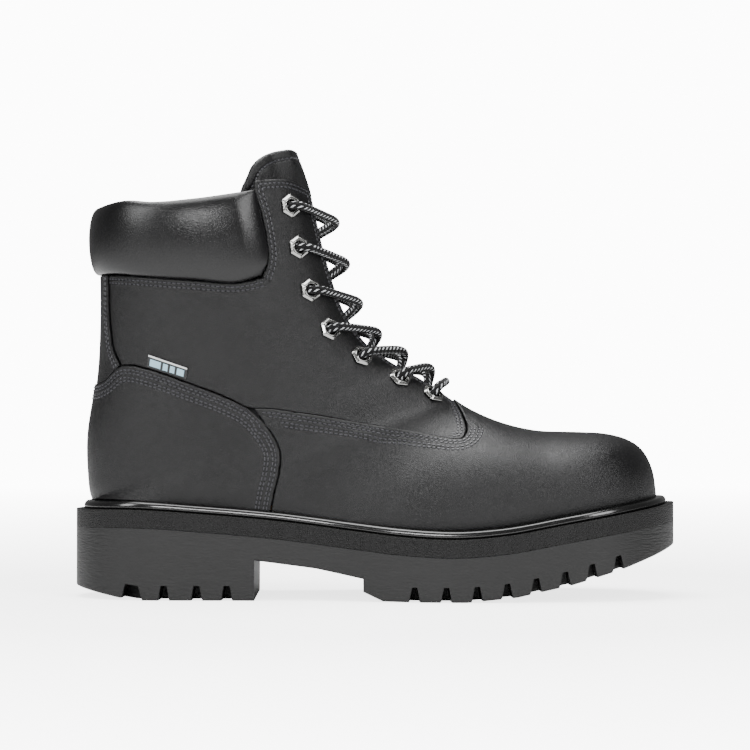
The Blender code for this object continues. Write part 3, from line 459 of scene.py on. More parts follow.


# One stitch is a tube of five rings that thins and dips at both ends, with a flat black disc before it,
# painted shade where its needle hole would be. A seam is that tube repeated.
def stitchMesh(name, rows, finish):
    around = stitching["sides"]
    turns = np.linspace(0, 2 * np.pi, around, endpoint=False)
    along = np.array([-1.0, -0.72, 0.0, 0.72, 1.0]) * stitching["share"] / 2
    swell = np.array([0.45, 0.95, 1.0, 0.95, 0.45])
    dip = np.array([-0.4, -0.05, 0.05, -0.05, -0.4])
    shape = np.stack([np.repeat(along[:, None], around, 1),
                      swell[:, None] * np.cos(turns) * stitching["thickness"] / 2,
                      swell[:, None] * np.sin(turns) * stitching["height"] / 2 + dip[:, None]], -1)
    shape = shape.reshape(-1, 3)
    rings = gridFaces(len(along), around, wrap=True)
    caps = np.array([[0, 1, 2, 3], [0, 3, 4, 5], [27, 26, 25, 24], [29, 28, 27, 24]])
    shapeFaces = np.concatenate([rings[:, ::-1], caps[:, ::-1]])
    centres, ways, ups = [np.concatenate([row[i] for row in rows]) for i in range(3)]
    length = np.linalg.norm(ways, axis=1, keepdims=True)
    along, across = ways / length, unit(np.cross(ups, ways))
    points = (centres[:, None] + shape[None, :, :1] * (along * length)[:, None]
              + shape[None, :, 1:2] * across[:, None] + shape[None, :, 2:] * ups[:, None])
    number = np.arange(len(centres))[:, None, None]
    faces = shapeFaces[None] + number * len(shape)
    # painted shade of the needle holes: a flat black hexagon of two quads under each stitch's start, with no
    # real hole cut
    ring = stitching["holeShade"] * np.stack([np.cos(turns), np.sin(turns)], -1)
    starts = (centres - ways / 2 - stitching["sink"] * ups)[:, None]
    holes = starts + ring[None, :, :1] * along[:, None] + ring[None, :, 1:] * across[:, None]
    holeShadeFaces = points.shape[0] * points.shape[1] + caps[:2][None] + number * around
    piece = makeMesh(name, np.concatenate([points.reshape(-1, 3), holes.reshape(-1, 3)]),
                     np.concatenate([faces.reshape(-1, 4), holeShadeFaces.reshape(-1, 4)]), finish)
    # the second material is plain black, painted shade for the needle holes
    piece.data.materials.append(finishes["holeShade"])
    index = np.zeros(len(piece.data.polygons), np.int32)
    index[-2 * len(centres):] = 1
    piece.data.polygons.foreach_set("material_index", index)
    print(name, len(centres))
    return piece


# Centres, lengths and up directions of the stitches of one row
def stitchRow(uv, side, height):
    length = reachOf(spot(uv, side))[-1]
    uv = even(uv, max(3, int(length / stitching["pitch"]) + 1), side)
    points = lifted(uv, side, np.full(len(uv), height))
    middle = (uv[1:] + uv[:-1]) / 2
    return (points[1:] + points[:-1]) / 2, np.diff(points, axis=0), normalAt(middle, side)


# ---- leather pieces: outlines in the side view, x and z

pattern = {
    "seamGap": 0.5,
    "seam": [(-61.5, 97.6), (-56, 97.6), (-38.2, 95.5), (-5.6, 90.2), (26.8, 84.8), (39.5, 82.4)],
    "throat": [(39.5, 82.4), (45.0, 82.9), (47.2, 86.4), (46.9, 91.6), (44.8, 97.2), (41.2, 102.8)],
    "counterFront": [(-53.5, 45.5), (-51.7, 54.7), (-49, 66.1), (-48.6, 74.9), (-51.7, 82.8), (-57.1, 90.7),
                     (-64.9, 97.7)],
    "counterTop": [(-146.4, 110.0), (-141.5, 110.6), (-138.0, 112.6), (-134.4, 116.4), (-130.6, 119.0),
                   (-125.5, 119.4), (-116.7, 117.6), (-95.6, 110.4), (-72.9, 101.6), (-64.9, 97.7)],
    "backstayBottom": [(-146.4, 110.25), (-141.7, 110.9), (-138.4, 112.8), (-134.9, 116.5), (-131.3, 119.1)],
    "backstayFront": [(-131, 119.8), (-134.8, 127.6), (-136.6, 138), (-137.5, 165.8)],
    "padBottom": [(-143.9, 166.5), (-137.5, 166.8), (-117.5, 165.2), (-92, 163.3), (-67, 162.4), (-58, 165.5)],
    "padFront": [(-58, 165.5), (-54.9, 172), (-55.6, 185.7), (-58.2, 197.6), (-61.5, 209.0)],
    "padTop": [(-143.2, 201), (-127.4, 204), (-114.5, 203), (-92.4, 204.5), (-67.2, 208.1), (-61.5, 209.0)],
    "rowsEnd": (40.0, 88.0),
    "quarterBottom": [(-130.6, 119.7), (-125.5, 119.9), (-116.7, 118.0), (-95.6, 110.9), (-72.9, 102.1),
                      (-65.2, 98.2)],
    "facingTop": [(-61, 213.8), (-52, 214.8), (-43.6, 214.8), (-37.9, 213.0)],
}

# Outer and inner face of each layer, outwards from the surface
layers = {"counter": (0.9, -1.1), "vamp": (0.0, -1.9), "backstay": (0.2, -1.6), "quarter": (-0.8, -2.4)}
leatherRim = {"radius": 0.7, "groove": 0.28, "grooveWidth": 0.55, "puff": 0.22, "fade": 1.5,
              "stitchLift": 0.05}
cornerU = float(heelCorner + 1)


def throatLine(side, dx=0.0, dz=0.0):
    curve = through(shifted(pattern["throat"], dx, dz), 300)
    whole = locate(*curve.T, side)
    return whole, whole[:np.count_nonzero(whole[:, 1] > facingV(whole[:, 0], side))]


def counterHalf(side):
    topU = uWhere(3, pattern["counterTop"][0][1], 0, heelCorner)
    front = edge(pattern["counterFront"], 50, side)
    front[0, 1] = 1
    back = rim(cornerU, topU, 1, 50, side)
    top = edge(pattern["counterTop"], 76, side)
    top[0], top[-1] = back[-1], front[-1]
    bottom = rim(cornerU, front[0, 0], 1, 76, side)
    s, t = spread(105, (False, True)), spread(58, (False, True))
    return patch(bottom, top, back, front, side, s, t), [top, front]


def vampLeft(count, side):
    front = shifted(pattern["counterFront"], pattern["seamGap"], 0)
    return edge(front[:-1] + [pattern["seam"][0]], count, side)


def vampHalf(side):
    left = vampLeft(60, side)
    left[0, 1] = 1
    seam = edge(pattern["seam"], 80, side)
    seam[0] = left[-1]
    throat = even(throatLine(side)[0], 36, side)
    throat[0], throat[-1, 1] = seam[-1], 0
    ridge = rim(throat[-1, 0], lastRow, 0, 90, side)
    turnU = [uWhere(2, x, 10, lastRow) for x in (22, 47)]
    bottom = chain(rim(left[0, 0], turnU[0], 1, 80, side), rim(turnU[0], turnU[1], 1, 36, side),
                   rim(turnU[1], lastRow, 1, 90, side))
    tip = np.stack([np.full(60, float(lastRow)), np.linspace(1, 0, 60)], -1)
    s, t = spread(225, (True, False)), spread(66, (False, True))
    return patch(bottom, chain(seam, throat, ridge), left, tip, side, s, t), [chain(seam, throat)]


def backstayHalf(side):
    gap = pattern["seamGap"]
    back = rim(uWhere(3, 110.25, 0, 6), uWhere(3, 166, 0, 6), 1, 44, side)
    front = edge(shifted(pattern["backstayFront"], -gap / 2, 0), 44, side)
    bottom = edge(pattern["backstayBottom"], 14, side)
    top = edge([(-143.3, 166), (-138, 166.2)], 14, side)
    bottom[0], bottom[-1], top[0], top[-1] = back[0], front[0], back[-1], front[-1]
    s, t = spread(10, (False, True), 0.8), spread(50, (False, False))
    return patch(bottom, top, back, front, side, s, t), [front]


# The quarter is two patches, its body and the facing strip above, which share one line
def quarterHalf(side):
    gap = pattern["seamGap"]
    seam = edge(shifted(pattern["seam"], 0, gap), 84, side)
    throat = even(throatLine(side, -1.3 * gap, gap)[1], 20, side)
    seam[-1] = throat[0]
    lower = edge(shifted(pattern["quarterBottom"] + pattern["seam"][:1], 0, gap), 50, side)
    lower[-1] = seam[0]
    us = np.linspace(uWhere(1, 211.0, 0, 3), throat[-1, 0], 600)
    facing = np.stack([us, facingV(us, side)], -1)
    stripFront = even(facing[us <= 2.4], 40, side)
    bodyFront = even(np.concatenate([stripFront[-1:], facing[us > 2.4]]), 70, side)
    bodyFront[-1] = throat[-1]
    padCorner = (-57.0, 164.2)
    upper = edge(shifted(pattern["padBottom"][1:5], 0, -0.5) + [padCorner], 98, side)
    joint = even(np.linspace(upper[-1], stripFront[-1], 100), 36, side)
    besidePad = shifted(pattern["padFront"][1:], 0.5, 0)
    padSide = edge([padCorner] + besidePad + pattern["facingTop"][:1], 40, side)
    padSide[0] = upper[-1]
    top = np.concatenate([edge(pattern["facingTop"], 90, side), stripFront[:1]])
    top = even(top, 36, side)
    top[0] = padSide[-1]
    besideStay = shifted(pattern["backstayFront"][1:3], gap, 0)
    back = edge([(-130.4, 120.3)] + besideStay + [(-137.5, 166.3)], 89, side)
    back[0], back[-1] = lower[0], upper[0]
    first, final = spread(95, (True, True)), spread(36, (True, True), 0.9)
    whole = np.concatenate([first * 0.73, 0.73 + 0.27 * final[1:]])
    lowLine, highLine = [chain(resampled(one, first), resampled(two, final))
                         for one, two in ((chain(lower, seam[:42]), seam[41:]), (upper, joint))]
    front = chain(throat, bodyFront[::-1])
    body = patch(lowLine, highLine, back, front, side, whole, spread(80, (True, True)))
    strip = patch(joint, top, padSide, stripFront[::-1], side, final, spread(52, (False, True)))
    return body, strip, [chain(stripFront, bodyFront), top, padSide, upper, throat]


# Depth of the outer face: a rounded edge, grooves along the stitch rows and a soft swell between them
def leatherOffset(uv, side, face, edges, seams):
    points = spot(uv, side)
    away = distanceTo(points, np.concatenate([lineOf(line, side) for line in edges]))
    radius = leatherRim["radius"]
    drop = radius - np.sqrt(np.maximum(radius ** 2 - np.maximum(radius - away, 0) ** 2, 0))
    offset = face - drop
    groove, width, fade = [leatherRim[key] for key in ("groove", "grooveWidth", "fade")]
    for outline, distances in seams:
        beside = distanceTo(points, lineOf(outline, side))
        inSeam = np.clip((max(distances) + fade - beside) / fade, 0, 1)
        offset = offset + leatherRim["puff"] * inSeam * np.clip(beside / fade, 0, 1)
        for distance in distances:
            offset = offset - groove * np.exp(-((beside - distance) / width) ** 2)
    return offset


# ---- finishes

def newFinish(name, values):
    finish = bpy.data.materials.new(name)
    finish.use_nodes = True
    tree = finish.node_tree
    shader = tree.nodes["Principled BSDF"]
    for key, value in values.items():
        shader.inputs[key].default_value = value
    return finish, tree, shader


# Adds a node; values fill its inputs, either a number or colour or another node's output
def addNode(tree, kind, values=(), **settings):
    node = tree.nodes.new(kind)
    for key, value in settings.items():
        setattr(node, key, value)
    for key, value in dict(values).items():
        if isinstance(value, bpy.types.NodeSocket):
            tree.links.new(value, node.inputs[key])
        else:
            node.inputs[key].default_value = value
    return node


# Object coordinates in metres times the scale; 1000 gives millimetres
def objectPlace(tree, scale=(1000, 1000, 1000)):
    place = addNode(tree, "ShaderNodeTexCoord").outputs["Object"]
    return addNode(tree, "ShaderNodeMapping", {"Vector": place, "Scale": scale}).outputs["Vector"]


def noiseOf(tree, place, scale, detail):
    inputs = {"Vector": place, "Scale": scale, "Detail": detail}
    return addNode(tree, "ShaderNodeTexNoise", inputs).outputs["Fac"]


def ramp(tree, factor, low, high, first, final):
    node = addNode(tree, "ShaderNodeMapRange", {"Value": factor, "From Min": low, "From Max": high,
                                                "To Min": first, "To Max": final})
    return node.outputs["Result"]


def maths(tree, operation, *values):
    return addNode(tree, "ShaderNodeMath", dict(enumerate(values)), operation=operation).outputs["Value"]


def mixColour(tree, factor, first, final):
    node = addNode(tree, "ShaderNodeMix", data_type="RGBA")
    for socket, value in ((node.inputs[0], factor), (node.inputs[6], first), (node.inputs[7], final)):
        if isinstance(value, bpy.types.NodeSocket):
            tree.links.new(value, socket)
        else:
            socket.default_value = value
    return node.outputs[2]


def bump(tree, shader, height, distance, strength=1.0, normal=None):
    values = {"Height": height, "Distance": distance * mm, "Strength": strength}
    if normal:
        values["Normal"] = normal
    output = addNode(tree, "ShaderNodeBump", values).outputs["Normal"]
    tree.links.new(output, shader.inputs["Normal"])
    return output


# Full grain leather: small pebbles with creases between them under a satin finish. The pebbles break the
# highlights up finely, and the worn patches keep the black from looking like plastic.
def leatherFinish(name, colours, roughness, pebble, depth, coat=0.0):
    finish, tree, shader = newFinish(name, {"Specular IOR Level": 0.34, "Coat Weight": coat,
                                            "Coat Roughness": 0.25})
    place = objectPlace(tree)
    cells = addNode(tree, "ShaderNodeTexVoronoi", {"Vector": place, "Scale": 1 / pebble, "Randomness": 1.0},
                    feature="DISTANCE_TO_EDGE").outputs["Distance"]
    creases = ramp(tree, cells, 0.0, 0.28, 0.0, 1.0)
    fine = noiseOf(tree, place, 2.6 / pebble, 3.0)
    broad = noiseOf(tree, place, 0.035, 2.0)
    shade = mixColour(tree, ramp(tree, broad, 0.35, 0.7, 0.0, 1.0), *map(linear, colours))
    tree.links.new(shade, shader.inputs["Base Color"])
    sheen = ramp(tree, broad, 0.3, 0.7, roughness - 0.04, roughness + 0.05)
    tree.links.new(sheen, shader.inputs["Roughness"])
    soft = bump(tree, shader, fine, depth * 0.5)
    bump(tree, shader, creases, depth, 1.0, soft)
    return finish


# A plain finish with fine grain: the noise has the size of the moulded or sprayed surface's grain, in mm
def plainFinish(name, colour, roughness, metallic=0.0, grain=0.0, depth=0.0, stretch=(1, 1, 1), coat=0.0,
                specular=0.5):
    finish, tree, shader = newFinish(name, {
        "Specular IOR Level": specular, "Base Color": linear(colour), "Roughness": roughness,
        "Metallic": metallic, "Coat Weight": coat, "Coat Roughness": 0.12})
    if grain:
        place = objectPlace(tree, [1000 * value for value in stretch])
        bump(tree, shader, noiseOf(tree, place, 1 / grain, 3.0), depth)
    return finish


# Stippled rubber: raised dots about a millimetre apart that sparkle against the matt ground
def stippledFinish(name, colour, roughness, pitch, depth):
    finish, tree, shader = newFinish(name, {"Specular IOR Level": 0.22, "Base Color": linear(colour),
                                            "Roughness": roughness})
    dots = addNode(tree, "ShaderNodeTexVoronoi",
                   {"Vector": objectPlace(tree), "Scale": 1 / pitch, "Randomness": 0.7})
    bump(tree, shader, ramp(tree, dots.outputs["Distance"], 0.1, 0.6, 1.0, 0.0), depth)
    return finish


# Woven cloth: crossing threads in Object coordinates with a little fuzz, matt and soft
def clothFinish(name, colours, pitch, depth, roughness=0.9):
    finish, tree, shader = newFinish(name, {"Roughness": roughness, "Sheen Weight": 0.3})
    place = objectPlace(tree, (1000 / pitch, 1000 / pitch, 1000 / pitch))
    weave = [addNode(tree, "ShaderNodeTexWave", {"Vector": place, "Scale": 0.5, "Distortion": 0.4},
                     bands_direction=way).outputs["Fac"] for way in ("X", "Z")]
    threads = maths(tree, "MULTIPLY", *weave)
    tree.links.new(mixColour(tree, threads, *map(linear, colours)), shader.inputs["Base Color"])
    bump(tree, shader, threads, depth)
    return finish


# Braided lace: UV runs in millimetres along and around. Two sets of strands cross in a herringbone, and grey
# yarns between the black ones make the lace read as flecked.
braid = {"strand": 2.8, "dash": 0.34, "lines": 4, "lineEdge": 0.2, "round": 13.195, "depth": 0.22}


def braidFinish():
    finish, tree, shader = newFinish("polyester braid, black with grey flecks",
                                     {"Roughness": 0.8, "Sheen Weight": 0.05, "Specular IOR Level": 0.2})
    place = addNode(tree, "ShaderNodeTexCoord").outputs["UV"]
    split = addNode(tree, "ShaderNodeSeparateXYZ", {"Vector": place})
    along, around = split.outputs["X"], split.outputs["Y"]

    def calc(operation, *values):
        return maths(tree, operation, *values)

    # diagonal phases of the two sets
    rises = [calc("MULTIPLY", calc("ADD", along, calc("MULTIPLY", around, slope)), 1 / braid["strand"])
             for slope in (1.0, -1.0)]
    waves = [calc("SINE", calc("MULTIPLY", rise, 2 * math.pi)) for rise in rises]
    crossing = calc("MULTIPLY", calc("SUBTRACT", rises[0], rises[1]), math.pi)
    over = calc("GREATER_THAN", calc("SINE", crossing), 0.0)
    height = calc("ADD", calc("MULTIPLY", waves[0], over),
                  calc("MULTIPLY", waves[1], calc("SUBTRACT", 1.0, over)))
    # light yarns show in narrow lines along the lace, as small slanted dashes
    dash = calc("LESS_THAN", calc("FRACT", rises[0]), braid["dash"])
    turn = calc("MULTIPLY", around, 2 * math.pi * braid["lines"] / braid["round"])
    fleck = calc("MULTIPLY", dash, calc("GREATER_THAN", calc("SINE", turn), braid["lineEdge"]))
    fine = noiseOf(tree, place, 6.0, 2.0)
    grey = mixColour(tree, fine, linear("#7f8184"), linear("#dcdee0"))
    tree.links.new(mixColour(tree, fleck, linear("#060607"), grey), shader.inputs["Base Color"])
    bump(tree, shader, height, braid["depth"])
    return finish


finishes = {
    "leather": leatherFinish("full grain leather, black", ("#050506", "#0a0a0b"), 0.35, 0.8, 0.075, 0.0),
    "collar": leatherFinish("soft glossy collar leather, black", ("#050506", "#080809"), 0.30, 1.15, 0.035,
                            0.15),
    "thread": plainFinish("bonded nylon thread, black", "#2c2c30", 0.32, grain=0.35, depth=0.05,
                          stretch=(1, 1, 3)),
    # the needle holes are painted shade: flat black discs on the leather, not cut holes
    "holeShade": plainFinish("painted shade in needle punctures, black", "#000000", 0.9),
    "nickel": plainFinish("nickel plated brass", "#a3a3a1", 0.2, 1.0, grain=3.0, depth=0.02),
    "braid": braidFinish(),
    "welt": plainFinish("glossy moulded rubber, black", "#050505", 0.2, grain=1.4, depth=0.02, coat=0.4),
    "stipple": stippledFinish("stippled moulded rubber, black", "#121212", 0.5, 0.9, 0.4),
    "sole": plainFinish("moulded rubber, black", "#0f0f0f", 0.5, grain=0.8, depth=0.3,
                        stretch=(0.18, 0.18, 1), specular=0.4),
    "lining": clothFinish("brushed cotton drill, dark grey", ("#2a2a2c", "#414145"), 0.7, 0.12),
    "tape": clothFinish("woven tape, black", ("#121213", "#1d1d1f"), 0.45, 0.1, 0.7),
    "blue": clothFinish("woven tape, pale blue yarn", ("#8fb4c6", "#b9d6e2"), 0.45, 0.1, 0.7),
    "white": clothFinish("woven tape, white yarn", ("#c9cccd", "#eceeee"), 0.45, 0.1, 0.7),
    "foam": plainFinish("open cell foam, grey", "#4a4a4e", 0.95, grain=0.8, depth=0.3),
    "plastic": plainFinish("lace tip film, black", "#0f0f10", 0.22, coat=0.5),
}


def declare(piece, nodes, body="boot"):
    if nodes:
        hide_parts(*nodes)
    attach(piece, body)
    return piece


# ---- lace: the route runs from one tucked end down through the eyelets and back up to the other

laceSizes = {
    "radius": 2.1, "around": 14, "step": 0.4,
    "shortMean": 1.6, "longMean": 7.0, "meanFrom": 4.5, "meanOver": 6,
    # heights above the surface: crossings above and below, free ends, last bar, under the facing and over
    # its edge
    "high": 8.6, "low": 3.6, "under": -5.9, "bar": 6.0, "dive": -5.5, "overEdge": 3.2, "edgeShare": 0.3,
    # at an eyelet: height and distance along, before it, in its barrel, on its rim and in front of it
    "behind": (5.9, 3.6), "barrel": (3.6, 0.6), "rim": (1.5, 0.4), "front": (4.6, 3.6), "barFront": (4.4, 3.8),
}
# rings of an aglet: distance from the lace's end and radius
agletRings = [(0.35, 0.2), (0.36, 1.5), (0.7, 1.75), (3.0, 1.7), (21.4, 1.45), (22.3, 1.1), (22.34, 0.2)]
eyeletPlaces = [(-42.8, 201.5), (-38.7, 180.4), (-32.7, 158.4), (-22.6, 138.7), (-6.6, 125), (13.1, 114),
                (30.5, 105.7)]
freeEnd = [(-49.8, 196), (-49.2, 186), (-47.2, 174), (-43.6, 161), (-38.2, 148.5), (-30.5, 138), (-21, 130),
           (-10, 123)]
rowCount = len(eyeletPlaces)


def eyeletFrame(row, side):
    u, v = locate(*eyeletPlaces[row], side)
    centre, normal = surface(u, v, side), outward(u, v, side)
    ahead = surface(u, v - 0.01, side) - centre
    return centre, normal, unit(ahead - normal * (ahead @ normal))


def towards(eyelet, target):
    way = target - eyelet[0]
    return unit(way - eyelet[1] * (way @ eyelet[1]))


# The two points at an eyelet on the way out of it, along that direction
def outOf(centre, normal, out, front):
    rimUp, rimBack = laceSizes["rim"]
    frontUp, frontOut = laceSizes[front]
    return [centre + normal * rimUp - out * rimBack, centre + normal * frontUp + out * frontOut]


def strand(firstSide, arriving):
    route = []
    (behind, aside), (barrel, back) = laceSizes["behind"], laceSizes["barrel"]
    share = laceSizes["edgeShare"]
    side = firstSide
    for row in range(rowCount):
        eyelet = eyeletFrame(row, side)
        centre, normal, _ = eyelet
        under = towards(eyelet, arriving)
        route += [centre - normal * behind + under * aside, centre - normal * barrel - under * back]
        if row == rowCount - 1:
            return route
        here, below = locate(*eyeletPlaces[row], side)[0], locate(*eyeletPlaces[row + 1], -side)[0]
        high = (firstSide == lateral) == (row % 2 == 0)
        middle = placed((here + below) / 2, 0.0, side, laceSizes["high"] if high else laceSizes["low"])
        route += outOf(centre, normal, towards(eyelet, middle), "front")
        if not high:
            overU = here + share * (below - here)
            route.append(placed(overU, facingV(overU, side), side, laceSizes["overEdge"]))
        edgeU = below + share * (here - below)
        side = -side
        arriving = placed(edgeU, facingV(edgeU, side), side, laceSizes["dive"])
        route += [middle, arriving]


def laceRoute():
    ends = {}
    for side in (lateral, medial):
        curve = np.array(freeEnd, float)
        uv = locate(*curve.T, side)
        ends[side] = list(lifted(uv, side, laceSizes["under"]))[::-1]
    first, second = [strand(side, ends[side][-1]) for side in (lateral, medial)]
    middle = placed(locate(*eyeletPlaces[-1], lateral)[0], 0.0, lateral, laceSizes["bar"])
    bar = {}
    for side in (medial, lateral):
        eyelet = eyeletFrame(rowCount - 1, side)
        bar[side] = outOf(eyelet[0], eyelet[1], towards(eyelet, middle), "barFront")
    down = ends[lateral] + first + bar[lateral]
    return np.array(down + [middle] + bar[medial][::-1] + second[::-1] + ends[medial][::-1])


# The route as a soft line: a running mean, short at the eyelets and long at the crossings between them
def softened(route, step, short, long, centres):
    at = reachOf(route)
    steps = np.linspace(0, at[-1], int(at[-1] / step) + 1)
    line = np.stack([np.interp(steps, at, column) for column in route.T], -1)
    tight = average(average(line, int(short / step)), int(short / step))
    loose = average(average(line, int(long / step)), int(long / step))
    away = distanceTo(line, centres) - laceSizes["meanFrom"]
    share = np.clip(away / laceSizes["meanOver"], 0, 1)[:, None]
    share = share * share * (3 - 2 * share)
    return average(tight * (1 - share) + loose * share, int(short / step))


# A tube round a line, with rings carried along it without twist, and UV in millimetres along and around
def tube(name, line, radius, around, finish):
    ways = unit(np.gradient(line, axis=0))
    across = np.empty_like(line)
    across[0] = unit(np.cross(ways[0], [0.3, 1.0, 0.2]))
    for i in range(1, len(line)):
        across[i] = unit(across[i - 1] - ways[i] * (across[i - 1] @ ways[i]))
    third = np.cross(ways, across)
    turns = np.linspace(0, 2 * np.pi, around, endpoint=False)
    ring = across[:, None] * np.cos(turns)[None, :, None] + third[:, None] * np.sin(turns)[None, :, None]
    radius = np.broadcast_to(radius, len(line))
    points = line[:, None] + ring * radius[:, None, None]
    caps = np.array([[0, i, i + 1, 0] for i in range(1, around - 1)])
    faces = np.concatenate([gridFaces(len(line), around, wrap=True), caps[:, [0, 2, 1, 0]],
                            caps + (len(line) - 1) * around])
    piece = makeMesh(name, points.reshape(-1, 3), faces[:, ::-1], finish)
    mesh = piece.data
    corner = np.empty(len(mesh.loops), int)
    mesh.loops.foreach_get("vertex_index", corner)
    row, turn = corner // around, corner % around
    # the last face of each ring runs from the last turn to a full one
    face = np.repeat(np.arange(len(mesh.polygons)), [len(p.vertices) for p in mesh.polygons])
    highest = np.zeros(len(mesh.polygons), int)
    np.maximum.at(highest, face, turn)
    turn = np.where((turn == 0) & (highest[face] == around - 1), around, turn)
    size = 2 * np.pi * laceSizes["radius"] / around
    uv = np.stack([reachOf(line)[row], turn * size], -1)
    mesh.uv_layers.new(name="UVMap").data.foreach_set("uv", uv.ravel())
    return piece


def buildLace():
    route = laceRoute()
    centres = np.array([eyeletFrame(row, side)[0] for row in range(rowCount) for side in (lateral, medial)])
    step, short, long = [laceSizes[key] for key in ("step", "shortMean", "longMean")]
    line = softened(route, step, short, long, centres)[::2]
    lace = tube("braided_lace", line, laceSizes["radius"], laceSizes["around"], finishes["braid"])
    declare(lace, ["lace"])
    for name, tip, before in (("aglet_lateral", line[0], line[1]), ("aglet_medial", line[-1], line[-2])):
        way = unit(tip - before)
        at, wide = np.array(agletRings).T
        aglet = tube(name + "_tip", tip + way * at[:, None], wide, 20, finishes["plastic"])
        declare(aglet, [name])
    return lace


# ---- eyelets: rings of radius, height and how far the ring is a hexagon

eyeletRings = [(3.1, -3.0, 0), (3.0, -0.6, 0), (2.95, 0.1, 0), (3.1, 0.5, 0), (3.4, 0.72, 0), (3.75, 0.72, 0),
               (3.95, 0.55, 0.1), (4.2, 0.5, 0.5), (4.75, 0.78, 1), (4.95, 0.82, 1), (5.9, 0.2, 1),
               (6.15, 0.0, 1), (6.2, -0.15, 1), (6.0, -0.4, 1), (3.85, -0.4, 0), (3.85, -3.0, 0)]


def buildEyelets():
    turns = np.linspace(0, 2 * np.pi, 48, endpoint=False)
    # a hexagon with slightly softened corners, flat towards the facing's edge
    facing = np.cos(turns[:, None] - np.radians(60 * np.arange(6))[None])
    hexagon = 1 / (np.maximum(facing, 0) ** 60).sum(1) ** (1 / 60) * math.cos(math.radians(30)) * 1.01
    for sideName, side in sides.items():
        for row in range(rowCount):
            centre, normal, ahead = eyeletFrame(row, side)
            across = np.cross(normal, ahead)
            circle = np.cos(turns)[:, None] * ahead + np.sin(turns)[:, None] * across
            loops = []
            for radius, height, share in eyeletRings:
                reach = radius * (1 - share + share * hexagon)
                loops.append(centre + normal * height + reach[:, None] * circle)
            name = f"eyelet_{sideName}_{row + 1}"
            faces = ringFaces(len(loops), len(turns))[:, ::-1]
            piece = makeMesh(name + "_hexagon", np.concatenate(loops), faces, finishes["nickel"])
            declare(piece, [name])
    print("eyelets", 2 * rowCount)


# ---- leather pieces with their stitch rows

# distances of the rows from the edge
seamDistances = {"counter": (2.0, 3.6, 6.0, 7.6), "vamp": (2.0, 3.8, 6.2, 8.0), "quarter": (2.0, 4.0),
                 "backstay": (2.0, 3.8)}


# Points of the surface beside a free outline, at that distance from it, without those that come too near it
def seamRow(outline, side, distance, inside, free):
    row = inset(outline, side, distance, inside)
    points = spot(row, side)
    away = distanceTo(points, np.concatenate([lineOf(line, side) for line in free]))
    return row[np.abs(away / distance - 1) < 0.12]


# A leather piece: patches of uv with their outline, in which some lines carry rows of stitches.
# halves: list of (side, patches, free outlines, [(outline, distances)], point inside)
def leatherPiece(name, layerName, halves, finish):
    face, back = layers[layerName]
    height = face - leatherRim["groove"] + leatherRim["puff"] + leatherRim["stitchLift"]
    sheets, rows = [], []
    for side, patches, free, seams, inside in halves:
        for uv in patches:
            sheets.append(sheetOf(uv, side, leatherOffset(uv, side, face, free, seams), back))
        for outline, distances in seams:
            for distance in distances:
                row = seamRow(outline, side, distance, inside, free)
                rows.append(stitchRow(row, side, height))
    piece = closedShell(name, sheets, finish)
    if rows:
        declare(stitchMesh(name + "_stitches", rows, finishes["thread"]), [])
    return piece


def buildCounter():
    halves = []
    for side in (lateral, medial):
        uv, (top, front) = counterHalf(side)
        free = chain(front, top[::-1])
        halves.append((side, [uv], [free], [(free, seamDistances["counter"])], seenAt(-95, 80, side)))
    piece = leatherPiece("heel_counter_cover", "counter", halves, finishes["leather"])
    declare(piece, ["counter_cover"])


def buildVamp():
    halves = []
    for side in (lateral, medial):
        uv, (free,) = vampHalf(side)
        points = spot(free, side)
        x, z = pattern["rowsEnd"]
        rowLine = free[:np.argmax((points[:, 0] > x) & (points[:, 2] > z))]
        left = vampLeft(40, side)
        seams = [(rowLine, seamDistances["vamp"])]
        halves.append((side, [uv], [free, left], seams, seenAt(60, 60, side)))
    declare(leatherPiece("vamp_leather", "vamp", halves, finishes["leather"]), ["vamp"])


def buildQuarters():
    for sideName, side in sides.items():
        body, strip, free = quarterHalf(side)
        seams = [(line, seamDistances["quarter"]) for line in free]
        halves = [(side, [body, strip], free, seams, seenAt(-45, 150, side))]
        piece = leatherPiece(f"quarter_leather_{sideName}", "quarter", halves, finishes["leather"])
        cutEyeletHoles(piece, side)
        declare(piece, [f"quarter_{sideName}"])


def cutEyeletHoles(piece, side):
    points, faces = [], []
    radius, reach, count = 4.4, 7, 24
    turns = np.linspace(0, 2 * np.pi, count, endpoint=False)
    for row in range(rowCount):
        centre, normal, ahead = eyeletFrame(row, side)
        ring = radius * (np.cos(turns)[:, None] * ahead + np.sin(turns)[:, None] * np.cross(normal, ahead))
        start = row * 2 * count
        points += [centre + normal * reach + ring, centre - normal * reach + ring]
        faces += [[start + i for i in range(count)], [start + 2 * count - 1 - i for i in range(count)]]
        for i in range(count):
            low, after = start + count, (i + 1) % count
            faces.append([start + i, low + i, low + after, start + after])
    mesh = bpy.data.meshes.new("holes")
    mesh.from_pydata((np.concatenate(points) * mm).tolist(), [], faces)
    cutter = bpy.data.objects.new("holes", mesh)
    bpy.context.scene.collection.objects.link(cutter)
    applyBoolean(piece, cutter)


def applyBoolean(piece, cutter):
    boolean = piece.modifiers.new("cut", "BOOLEAN")
    boolean.operation, boolean.solver, boolean.object = "DIFFERENCE", "EXACT", cutter
    evaluated = piece.evaluated_get(bpy.context.evaluated_depsgraph_get())
    mesh = bpy.data.meshes.new_from_object(evaluated)
    piece.modifiers.clear()
    old = piece.data
    piece.data = mesh
    bpy.data.meshes.remove(old)
    bpy.data.objects.remove(cutter)


def buildBackstay():
    halves = []
    for side in (lateral, medial):
        uv, free = backstayHalf(side)
        seams = [(free[0], seamDistances["backstay"])]
        halves.append((side, [uv], free, seams, seenAt(-141, 140, side)))
    piece = leatherPiece("backstay_leather", "backstay", halves, finishes["leather"])
    declare(piece, ["backstay"])


# ---- collar pad, tongue, linings and tag

